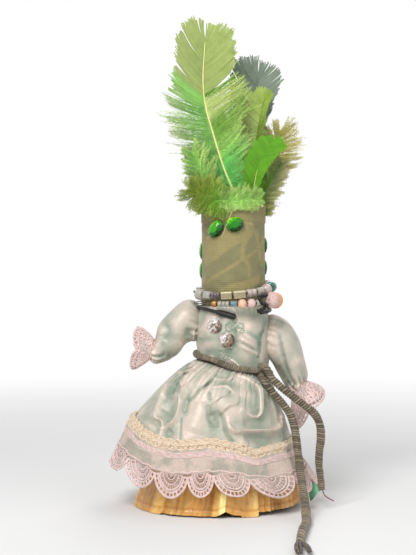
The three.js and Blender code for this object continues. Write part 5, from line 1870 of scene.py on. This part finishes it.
class DOLL_OT_sleeves(bpy.types.Operator):
    """Puffed sleeves and their lace cuffs"""

    bl_idname = "doll.sleeves"
    bl_label = "Sleeves"

    def execute(self, context):
        mint = bpy.data.materials["Mint satin"]
        thread = bpy.data.materials["Pink lace thread"]
        net = tulle("Cuff net", context.scene.doll_dress.lace, 420, 0.1)
        for side, plan in SLEEVES.items():
            self.sleeve(side, plan, mint)
        for side, plan in SLEEVES.items():
            self.cuff(side, plan, thread, net)
        return {"FINISHED"}

    def sleeve(self, side, plan, mint):
        outer, inner = (smooth_line([ring[i] for ring in plan["rings"]], len(STATIONS)) for i in range(2))
        depth = spread_over([ring[2] for ring in plan["rings"]], len(STATIONS))
        lines = ((outer + inner) / 2, (outer - inner) / 2, depth)
        piece = self.form(f"{side}_sleeve_satin", *lines)
        share, _ = self.where(points_of(piece.data), *lines)
        fill_with_air(piece, np.maximum(1 - ease(share, 0.02, 0.12), ease(share, 0.9, 0.98)))
        finer = piece.modifiers.new("Finer", "SUBSURF")
        finer.levels = finer.render_levels = 2
        settle(piece)
        self.folds(piece.data, plan["folds"], lines)
        keep(piece, mint, body=None, nodes=[f"{side}_sleeve", f"{side}_sleeve_stuffing"], slot="satin")
        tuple(plan["start"])
        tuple(plan["end"])
        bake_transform(piece)

    def form(self, name, middle, half, depth):
        """A closed sleeve of small even faces."""
        def place(across, down):
            angle = round_doll(across)
            reach = read_line(half, STATIONS, down) * SLEEVE_SLACK
            deep = np.interp(down, STATIONS, depth) * SLEEVE_SLACK
            flat = read_line(middle, STATIONS, down) + reach * np.cos(angle)[..., None]
            return np.stack([flat[..., 0], deep * np.sin(angle), flat[..., 1]], -1)

        piece = sheet(name, 72, 48, place)
        rework(piece.data, fill_holes, turn_outwards)
        even = piece.modifiers.new("Even faces", "REMESH")
        even.mode = "VOXEL"
        even.voxel_size = SLEEVE_FACE * MM
        settle(piece)
        rework(piece.data, soften, soften, soften)
        return piece

    def where(self, points, middle, half, depth):
        """How far along the sleeve each point lies, and its angle round it."""
        gap = np.linalg.norm(points[:, None, [0, 2]] - middle[None], axis=-1)
        station = gap.argmin(1)
        reach = half[station]
        size = np.linalg.norm(reach, axis=1)
        side = ((points[:, [0, 2]] - middle[station]) * reach).sum(1) / size**2
        return station / (len(middle) - 1), np.arctan2(points[:, 1] / depth[station], side)

    def folds(self, mesh, folds, lines):
        """Puckers at the wrist and the armhole, soft waves and the drawn folds, with painted light and shade
        that follow them.
        """
        points, outward = points_of(mesh), triples(mesh.vertex_normals, "vector")
        share, angle = self.where(points, *lines)
        pucker = 1.2 * ripple(angle, share, 61, (13, 17, 21), 2.0) * ease(share, 0.7, 0.98)
        pucker = pucker + 0.7 * ripple(angle, share, 63, (13, 16, 19), 2.0) * (1 - ease(share, 0.02, 0.25))
        soft = 0.4 * ripple(angle, share * 3, 65, (3, 4, 5), 2.5)
        lift = pucker + soft + 1.9 * fold_lift(points, folds, outward)
        points = points + outward * lift[:, None]
        lay(mesh, points)
        # Painted light and shade: the tone follows the puckers and waves, and the drawn folds add theirs.
        light = fold_light(points, folds, outward, 0.55 + 0.34 * pucker + 0.3 * soft)
        paint(mesh, "tone", light["tone"])

    def cuff(self, side, plan, thread, net):
        """A frill of lace round the wrist, in a few wide lobes."""
        outer, inner, depth = (np.array(part) for part in plan["rings"][-1])
        middle, half = (outer + inner) / 2, (outer - inner) / 2
        aim = unit(np.array(plan["aim"]))

        def at(across, down):
            across, down = np.broadcast_arrays(np.asarray(across, float), np.asarray(down, float))
            angle = across * 2 * math.pi
            opening = np.sin(np.minimum(1, down * 1.1) * math.pi / 2)
            flare = 0.7 + (plan["spread"] - 0.7) * opening + 0.1 * np.sin(3 * angle) * down
            deep = depth * np.sin(angle) * (0.8 + 0.6 * down) + 1.3 * np.sin(5 * angle) * down
            run = plan["reach"] * (down - 0.1) * (1 + plan["tilt"] * np.cos(angle))
            flat = middle + half * (np.cos(angle) * flare)[..., None] + aim * run[..., None]
            return np.stack([flat[..., 0], deep, flat[..., 1]], -1)

        def edge(across):
            cell = (across * CUFF_LOBES) % 1
            return 0.72 + 0.28 * np.sqrt(np.maximum(0.03, 1 - ((cell - 0.5) / 0.5) ** 2))

        def place(across, down):
            return at(across, down * edge(across) * 0.98)

        def marks(across, down, points):
            return {"cover": np.where(down > 0.82, 0.04, 1.0)}

        ground = sheet(f"{side}_cuff_net", 168, 40, place, marks, span=(0.09, 0.02))
        keep(ground, net, body=f"{side}_arm", nodes=[f"{side}_lace_cuff"], slot="lace")
        around = np.linspace(0, 1, 169)
        lines = [(at(around, edge(around) * share), radius) for share, radius in CUFF_RINGS]
        for spoke in np.linspace(0, 1, CUFF_LOBES * 8, endpoint=False):
            lines.append((at(spoke, edge(spoke) * np.array([0.8, 0.9, 1.0])), 0.6))
        down = np.linspace(0.2, 0.8, 13)
        for spoke in np.linspace(0, 1, CUFF_LOBES * 9, endpoint=False):
            sway = spoke + 0.008 * np.sin(down * 40)
            lines.append((at(sway, edge(sway) * down), 0.33))
        piece = tubes(f"{side}_cuff_threads", lines)
        keep(piece, thread, body=f"{side}_arm", slot="lace")


# Plume

# Each feather: its shaft; rows of barbs as share up the shaft, left length and angle, right length and angle,
# and looseness; splits as side, share and opening; dyes by share up the shaft; dyes of the tips; how far
# loose barbs stand off and how much they are tousled; the shaft's radius at its foot and tip; which share of
# the shaft shows bare; and its slot. One looseness or dye stands for both sides, two for left and right.
FEATHERS = {
    "tall_lime": {
        "shaft": ((2, -8.5, 214), (0.5, -10, 222.5), (-7.5, -11.5, 242.5), (-15, -12, 267), (-19, -12, 281),
                  (-21, -12, 293), (-21.5, -12, 308), (-20, -12.5, 331)),
        "barbs": ((0, 9, 67, 9.5, 74, 0.9, 0.9), (0.07, 13, 57, 15.5, 76, 0.9, 0.9),
                  (0.16, 16, 54, 21, 70, 0.85, 0.85), (0.25, 18.5, 58, 23.5, 65, 0.8, 0.8),
                  (0.33, 22, 68, 27, 61, 0.75, 0.75), (0.385, 32, 78, 29, 62, 0.7, 0.7),
                  (0.44, 35.5, 70, 31, 65, 0.65, 0.65), (0.47, 28, 64, 33, 67, 0.6, 0.6),
                  (0.52, 34, 62, 36, 69, 0.5, 0.4), (0.58, 32, 56, 33, 69, 0.4, 0.35),
                  (0.63, 28, 48, 31, 66, 0.12, 0.35), (0.67, 28, 42, 29, 60, 0.05, 0.35),
                  (0.69, 28, 41, 27, 57, 0.05, 0.05), (0.75, 30.5, 37, 29, 54, 0.03, 0.03),
                  (0.81, 30.5, 38, 29.5, 45, 0.03, 0.03), (0.885, 27.5, 36, 27.5, 42, 0.03, 0.03),
                  (0.94, 24, 30, 23, 36, 0.03, 0.03), (0.985, 18, 22, 14, 24, 0.03, 0.03),
                  (1, 14, 12, 12.5, 4, 0.03, 0.03)),
        "splits": ((-1, 0.982, 3.5), (-1, 0.87, 2.4), (-1, 0.7, 2.4), (-1, 0.62, 2.5), (1, 0.95, 1.5),
                   (1, 0.84, 1), (1, 0.68, 3)),
        "dyes": ((0, "bright_mint"), (0.25, "bright_mint"),
                 (0.33, "mint", "pale_mint"), (0.42, "mint", "leaf"), (0.5, "mint", "leaf"),
                 (0.55, "mint", "fluff"), (0.655, "mint", "fluff"), (0.662, "mint", "dark_leaf"),
                 (0.68, "lime", "dark_leaf"), (0.685, "lime"), (1, "lime")),
        "tips": ("tan", "fluff"), "stand": 0.5, "shaft_r": (0.85, 0.3), "bare": 1.0, "slot": "lime_feather",
    },
    "front_mint": {
        "shaft": ((-17, -17, 208.5), (-13.5, -23.4, 215.6), (-6, -24.9, 216.6), (3, -24.4, 217),
                  (11, -23.4, 218), (18, -19.5, 218.5)),
        "barbs": ((0, 3, 70, 3, 80, 0.9), (0.22, 6, 74, 5, 80, 0.9), (0.48, 10.5, 72, 8, 80, 0.9),
                  (0.82, 9.5, 60, 8, 74, 0.9), (1, 7, 45, 6, 50, 0.9)),
        "dyes": ((0, "spring"), (0.22, "spring"), (0.5, "pale_mint"),
                 (1, "pale_mint")),
        "tips": ("pale", "pale"), "stand": 1.2, "tousle": 26, "shaft_r": (0.25, 0.1), "slot": "mint_feather",
    },
    "right_olive": {
        "shaft": ((0, -15, 208), (-3, -22.6, 215.5), (-11, -24.5, 217), (-20, -25, 219.5), (-29, -23, 224)),
        "barbs": ((0, 9, 90, 8, 80, 0.9), (0.35, 13, 88, 13, 80, 0.9), (0.75, 15, 72, 15, 66, 0.9),
                  (1, 12, 30, 12, 36, 0.9)),
        "dyes": ((0, "pale_mint"), (0.2, "pale_mint"), (0.42, "spring"),
                 (0.8, "olive"), (1, "olive")),
        "tips": ("olive_tip", "olive_tip"), "stand": 1.2, "tousle": 16, "shaft_r": (0.25, 0.1),
        "slot": "olive_feather",
    },
    "left_green": {
        "shaft": ((13.5, -10, 216), (14.5, -14, 227), (17.5, -16, 241), (23.5, -15, 253), (28.5, -13, 260)),
        "barbs": ((0, 8, 42, 4.5, 34, 0.1), (0.22, 11.5, 42, 7.5, 38, 0.03), (0.42, 13, 50, 11, 43, 0.02),
                  (0.64, 12, 63, 12.5, 46, 0.02), (0.82, 10.5, 60, 14.5, 50, 0.02),
                  (0.945, 6, 68, 9.5, 41, 0.02), (1, 4.5, 55, 5.5, 7, 0.02)),
        "splits": ((1, 0.9, 1.5),),
        "dyes": ((0, "green"), (1, "green")),
        "tips": ("green", "green"), "stand": 0.2, "shaft_r": (0.45, 0.12), "bare": 0.5,
        "slot": "green_feather",
    },
    "left_grey_down": {
        "shaft": ((18.5, -2, 208.5), (22, -4, 220), (28, -5, 232.5), (33, -5, 243)),
        "barbs": ((0, 9, 60, 9, 78, 0.9), (0.5, 10, 45, 11.5, 58, 0.8), (1, 9, 20, 10, 25, 0.8)),
        "dyes": ((0, "spring", "olive"), (0.5, "spring", "grey_green"), (1, "grey_green")),
        "tips": ("pale", "tan"), "stand": 1.0, "shaft_r": (0.25, 0.1), "slot": "grey_feather",
    },
    "left_lime": {
        "shaft": ((11.5, 2, 215), (13, 2, 233.5), (16.5, 2, 262), (20.5, 2, 282.5), (23, 2, 292.5)),
        "barbs": ((0, 9.5, 46, 9.5, 37, 0.7), (0.23, 20, 63, 12, 36, 0.6), (0.42, 27, 65, 13.5, 31, 0.55),
                  (0.6, 28.5, 67, 15, 23, 0.45), (0.75, 24.5, 62, 12, 22, 0.25), (0.87, 17, 50, 12, 26, 0.05),
                  (0.96, 11.5, 36, 10, 30, 0.03), (1, 7.5, 6, 7.5, 5, 0.03)),
        # The left vane's fluff dyes are paler than the feather shows: partly its colour, partly painted light
        # that lifts the shade between the feathers.
        "dyes": ((0, "pale_mint", "mint"), (0.35, "fluff", "lime_green"), (0.7, "fluff", "lime_green"),
                 (1, "lime_green")),
        "tips": ("tan", "lime_green"), "stand": 0.6, "shaft_r": (0.35, 0.12), "slot": "lime_feather",
    },
    "right_pale_down": {
        "shaft": ((-15, -8, 209), (-19, -13, 222.5), (-24, -15, 238), (-28.5, -15, 250)),
        "barbs": ((0, 12, 80, 15, 60, 0.9), (0.5, 13, 66, 18, 50, 0.9), (1, 10, 30, 13, 30, 0.9)),
        # These pale dyes are lighter than the down shows: partly its colour, partly painted light that lifts
        # the shade behind the tall feather.
        "dyes": ((0, "pale_mint"), (1, "mint", "pale_mint")),
        "tips": ("pale", "pale"), "stand": 1.0, "shaft_r": (0.25, 0.1), "slot": "mint_feather",
    },
    "left_yellow_down": {
        "shaft": ((18.5, 6, 209), (23.5, 7, 230), (30, 8, 253), (33.5, 9, 268)),
        "barbs": ((0, 12, 60, 12, 65, 0.8), (0.4, 18, 52, 13, 66, 0.7), (0.65, 18, 45, 20, 70, 0.6),
                  (0.85, 16, 35, 19, 56, 0.55), (1, 11, 14, 15, 28, 0.5)),
        "dyes": ((0, "olive"), (0.4, "leaf", "straw"), (1, "straw")),
        "tips": ("tan", "tan"), "stand": 0.7, "shaft_r": (0.3, 0.1), "slot": "olive_feather",
    },
    "left_blue_grey": {
        "shaft": ((9.5, 10, 216), (12, 11, 248.5), (15.5, 12, 285.5), (18, 13, 304.5), (18.5, 13, 310.5)),
        "barbs": ((0, 9, 43, 9.5, 36, 0.6), (0.35, 17.5, 38, 17.5, 28, 0.4), (0.58, 22.5, 44, 20, 36, 0.15),
                  (0.73, 27.5, 44, 21.5, 46, 0.02), (0.83, 28.5, 42, 23, 48, 0.01),
                  (0.935, 23, 40, 19, 47, 0.01), (0.975, 18, 26, 13.5, 26, 0.01),
                  (1, 13.5, 3, 11.5, 3, 0.01)),
        "splits": ((-1, 0.93, 1.6), (-1, 0.975, 1.2), (1, 0.965, 1.5), (1, 0.88, 1.8)),
        "dyes": ((0, "mint"), (0.4, "leaf", "grey"), (0.6, "grey"), (1, "grey")),
        "tips": ("grey", "grey"), "stand": 0.3, "shaft_r": (0.4, 0.15), "slot": "grey_feather",
    },
    "back_green_down": {
        "shaft": ((-3.5, 15, 209.5), (-3.5, 17, 234.5), (-3, 19, 258), (-1, 21, 274)),
        "barbs": ((0, 16, 70, 18, 70, 0.85), (0.4, 26, 60, 28, 58, 0.8), (0.75, 26, 50, 30, 50, 0.75),
                  (1, 14, 25, 18, 28, 0.75)),
        # These pale dyes are partly the feather's colour, partly painted light that lifts the shade at the
        # back of the plume.
        "dyes": ((0, "spring"), (1, "fluff")),
        "tips": ("fluff", "fluff"), "stand": 1.0, "shaft_r": (0.4, 0.15), "slot": "green_feather",
    },
}
STRAY_BARB = ((1.6, -23.6, 214.5), (-2.0, -24.6, 207.0), (-5.4, -25.0, 199.0), (-8.4, -24.6, 191.0))
# Dyes beside those of the settings, as screen colours
DYES = {
    "straw": (188, 180, 96), "tan": (216, 206, 156), "lime_green": (144, 172, 66),
    "grey_green": (140, 152, 96), "pale_mint": (172, 226, 112), "bright_mint": (116, 212, 102),
    "leaf": (126, 176, 68), "dark_leaf": (84, 142, 36), "fluff": (194, 214, 126),
    "olive_tip": (158, 164, 76), "spring": (112, 174, 36),
}
# Places along a barb, the looseness from which barbs are fluffy, and how many threads of down such a barb has
BARB_STEPS = np.linspace(0, 1, 9)
FLUFFY = 0.3
DOWN_THREADS = 30


class Vane:
    """One side of a feather: barbs that leave the shaft in clumps and part at the splits."""

    def __init__(self, side, plan, count, chance):
        rows = np.array(plan["barbs"], float)
        columns = (1, 2, 5) if side < 0 else (3, 4, -1)
        share = np.sort(np.clip((np.arange(count) + chance.uniform(-0.4, 0.4, count)) / (count - 1), 0, 1))
        reach, lean, loose = (np.interp(share, rows[:, 0], rows[:, i]) for i in columns)
        self.clump = np.cumsum(chance.uniform(0, 1, count) < 0.15)
        self.sway = chance.normal(0, 1, self.clump.max() + 1)[self.clump]
        lean = np.radians(lean) + self.sway * np.radians(0.8 + 6 * loose)
        lean = lean + chance.normal(0, 1, count) * np.radians(0.4 + plan.get("tousle", 7) * loose)
        for at_side, at_share, opening in plan.get("splits", ()):
            if at_side == side:
                gap = share - at_share
                lean = lean - np.sign(gap) * np.radians(opening) * np.exp(-np.abs(gap) / 0.03)
        reach = reach * (1 + chance.normal(0, 0.04 + 0.17 * loose, count))
        reach = reach * (1 + 0.05 * self.sway * (0.7 + loose))
        self.side, self.share = side, share
        self.reach, self.lean, self.loose = reach[:, None], lean[:, None], loose[:, None]

    def grow(self, line, stand, chance):
        """The barbs' paths, their half-widths and the way out of the feather at each."""
        t, loose = BARB_STEPS, self.loose
        spot, places = self.share * (len(line) - 1), np.arange(len(line))
        root = read_line(line, places, spot)
        up = unit(read_line(line_frames(line)[0], places, spot))
        over = unit(np.cross(up, (0.0, -1.0, 0.0)))
        out = np.cross(over, up)[:, None]
        curl = np.radians(9) * (1 - loose) + chance.normal(0, 1, loose.shape) * np.radians(20) * loose
        bend = self.lean + curl * (1 - 2 * t)
        bend = bend + loose * np.radians(9) * np.sin(t * 7 + chance.uniform(0, 6.28, loose.shape))
        swing = chance.normal(0, 1, loose.shape) * loose * 0.42 * stand * t
        step = np.cos(bend)[..., None] * up[:, None] + self.side * np.sin(bend)[..., None] * over[:, None]
        step = unit(step + swing[..., None] * out) * (self.reach / (len(t) - 1))[..., None]
        path = self.gathered(root[:, None] + np.cumsum(step * (t > 0)[:, None], axis=1))
        arch = -0.06 * self.reach * t**2 * (1 - loose) + 0.05 * (np.arange(len(path)) % 2)[:, None]
        wide = np.where(loose > FLUFFY, 0.2, 0.42) * (1.05 - np.where(loose > FLUFFY, 0.8, 0.25) * t**2)
        return path + out * arch[..., None], unit(np.cross(step, out)) * wide[..., None], out[:, 0]

    def gathered(self, path):
        """Draws loose barbs towards the middle of their clump."""
        locks = np.zeros((self.clump.max() + 1, *path.shape[1:]))
        np.add.at(locks, self.clump, path)
        locks /= np.maximum(np.bincount(self.clump), 1)[:, None, None]
        pull = 0.62 * ease(self.loose, 0.1, 0.5) * BARB_STEPS**1.5
        return path + (locks[self.clump] - path) * pull[..., None]

    def tint(self, plan, dyes, chance):
        """Colours along the barbs, from the dyes by the shaft to those of the tips."""
        column = 1 if self.side < 0 else -1
        hues = np.array([dyes[row[column]] for row in plan["dyes"]])
        body = read_line(hues, [row[0] for row in plan["dyes"]], self.share)[:, None]
        tips = dyes[plan["tips"][0 if self.side < 0 else 1]]
        end = ((0.12 + 0.8 * self.loose) * BARB_STEPS**2)[..., None]
        shade = 1 + chance.normal(0, 0.06 + 0.14 * self.loose[:, 0]) + 0.05 * self.sway
        light = (0.9 + 0.1 * BARB_STEPS)[:, None] * (1 + 0.05 * self.side)
        return np.clip((body * (1 - end) + tips * end) * shade[:, None, None] * light, 0, 1)


class DOLL_OT_plume(bpy.types.Operator):
    """Dyed feathers standing in the top of the head"""

    bl_idname = "doll.plume"
    bl_label = "Plume"

    def execute(self, context):
        s = context.scene.doll_plume
        dyes = {name: np.array(srgb(*colour)) for name, colour in DYES.items()}
        for name in ("lime", "mint", "green", "olive", "grey", "pale"):
            dyes[name] = np.array(getattr(s, name))
        barb = dyed_barbs()
        shaft = plain("Feather shaft", srgb(246, 240, 176), srgb(224, 214, 130), rough=(0.35, 0.5), scale=400)
        for seed, (name, plan) in enumerate(FEATHERS.items()):
            chance = np.random.default_rng(seed + 100)
            line = smooth_line(plan["shaft"], 300)
            self.barbs(name, plan, line, s.barb_step / MM, dyes, barb, chance)
            self.shaft(name, plan, line, dyes, shaft if "bare" in plan else barb)
        stray = tubes("stray_barb", [(smooth_line(STRAY_BARB, 30), np.linspace(0.18, 0.1, 30))])
        keep(stray, shaft, slot="mint_feather")
        return {"FINISHED"}

    def barbs(self, name, plan, line, step, dyes, barb, chance):
        count = int(line_length(line) / step * (2.0 if plan["barbs"][0][5] > 0.75 else 1.4))
        sides = []
        for side in (-1, 1):
            vane = Vane(side, plan, count, chance)
            grown = vane.grow(line, plan["stand"], chance)
            sides.append((*grown, vane.tint(plan, dyes, chance), vane.loose[:, 0]))
        path, half, out, tint, loose = (np.concatenate(both) for both in zip(*sides))
        keep(strips(f"{name}_barbs", path, half, tint), barb, nodes=[f"{name}_feather"], slot=plan["slot"])
        owner = np.repeat(np.flatnonzero(loose > FLUFFY), DOWN_THREADS)
        if len(owner):
            keep(self.down(name, path, out, tint, owner, chance), barb, slot=plan["slot"])

    def down(self, name, path, out, tint, owner, chance):
        """Fine side threads that make the loose barbs fluffy."""
        one_each = (len(owner), 1)
        spot = chance.uniform(0.04, 0.95, len(owner)) * (path.shape[1] - 1)
        low = spot.astype(int)
        part = (spot - low)[:, None]
        before, after, away = path[owner, low], path[owner, low + 1], out[owner]
        base = before * (1 - part) + after * part
        run = unit(after - before)
        side = np.where(chance.uniform(0, 1, one_each) < 0.5, -1, 1)
        cross = unit(np.cross(run, away)) * side
        aim = unit(0.7 * run + 0.7 * cross + away * chance.normal(0, 0.4, one_each))
        tip = base + aim * chance.uniform(1.0, 3.0, one_each) * (1 - 0.07 * spot)[:, None]
        half = unit(np.cross(aim, away)) * 0.1
        colour = tint[owner, low] * chance.uniform(0.88, 1.1, one_each)
        colours = np.clip(np.stack([colour, colour * 1.04], 1), 0, 1)
        return strips(f"{name}_down", np.stack([base, tip], 1), np.stack([half, half * 0.5], 1), colours)

    def shaft(self, name, plan, line, dyes, finish):
        line = line[: int(len(line) * plan.get("bare", 1.0)) : 4] + (0, -0.3, 0)
        stem = tubes(f"{name}_shaft", [(line, np.linspace(*plan["shaft_r"], len(line)))], 2)
        colour = with_alpha(shaded(dyes[plan["dyes"][-1][1]], 0.9))
        paint(stem.data, "tint", np.tile(colour, (len(stem.data.vertices), 1)))
        keep(stem, finish, slot=plan["slot"])


# Panel, settings and start


class DOLL_PT_panel(bpy.types.Panel):
    """Lists the doll's pieces in the order they are made"""

    bl_idname = "DOLL_PT_panel"
    bl_label = "Doll"
    bl_space_type = "VIEW_3D"
    bl_region_type = "UI"
    bl_category = "Doll"

    def draw(self, context):
        for operator in OPERATORS:
            self.layout.operator(operator.bl_idname)
        for group in SETTINGS:
            box = self.layout.box()
            for key in SETTINGS[group].__annotations__:
                box.prop(getattr(context.scene, group), key)


SETTINGS = {
    "doll_stage": StageSettings,
    "doll_cords": CordSettings,
    "doll_head": HeadSettings,
    "doll_beads": BeadSettings,
    "doll_dress": DressSettings,
    "doll_plume": PlumeSettings,
}
OPERATORS = (
    DOLL_OT_stage,
    DOLL_OT_cords,
    DOLL_OT_head,
    DOLL_OT_beads,
    DOLL_OT_dress,
    DOLL_OT_lace,
    DOLL_OT_sleeves,
    DOLL_OT_plume,
)


def register():
    for group, settings in SETTINGS.items():
        bpy.utils.register_class(settings)
        setattr(bpy.types.Scene, group, bpy.props.PointerProperty(type=settings))
    for operator in OPERATORS:
        bpy.utils.register_class(operator)
    bpy.utils.register_class(DOLL_PT_panel)


def unregister():
    bpy.utils.unregister_class(DOLL_PT_panel)
    for operator in reversed(OPERATORS):
        bpy.utils.unregister_class(operator)
    for group, settings in SETTINGS.items():
        delattr(bpy.types.Scene, group)
        bpy.utils.unregister_class(settings)


def main():
    register()
    bpy.ops.doll.stage()
    bpy.ops.doll.cords()
    bpy.ops.doll.head()
    bpy.ops.doll.beads()
    bpy.ops.doll.dress()
    bpy.ops.doll.lace()
    bpy.ops.doll.sleeves()
    bpy.ops.doll.plume()


if __name__ == "__main__":
    main()
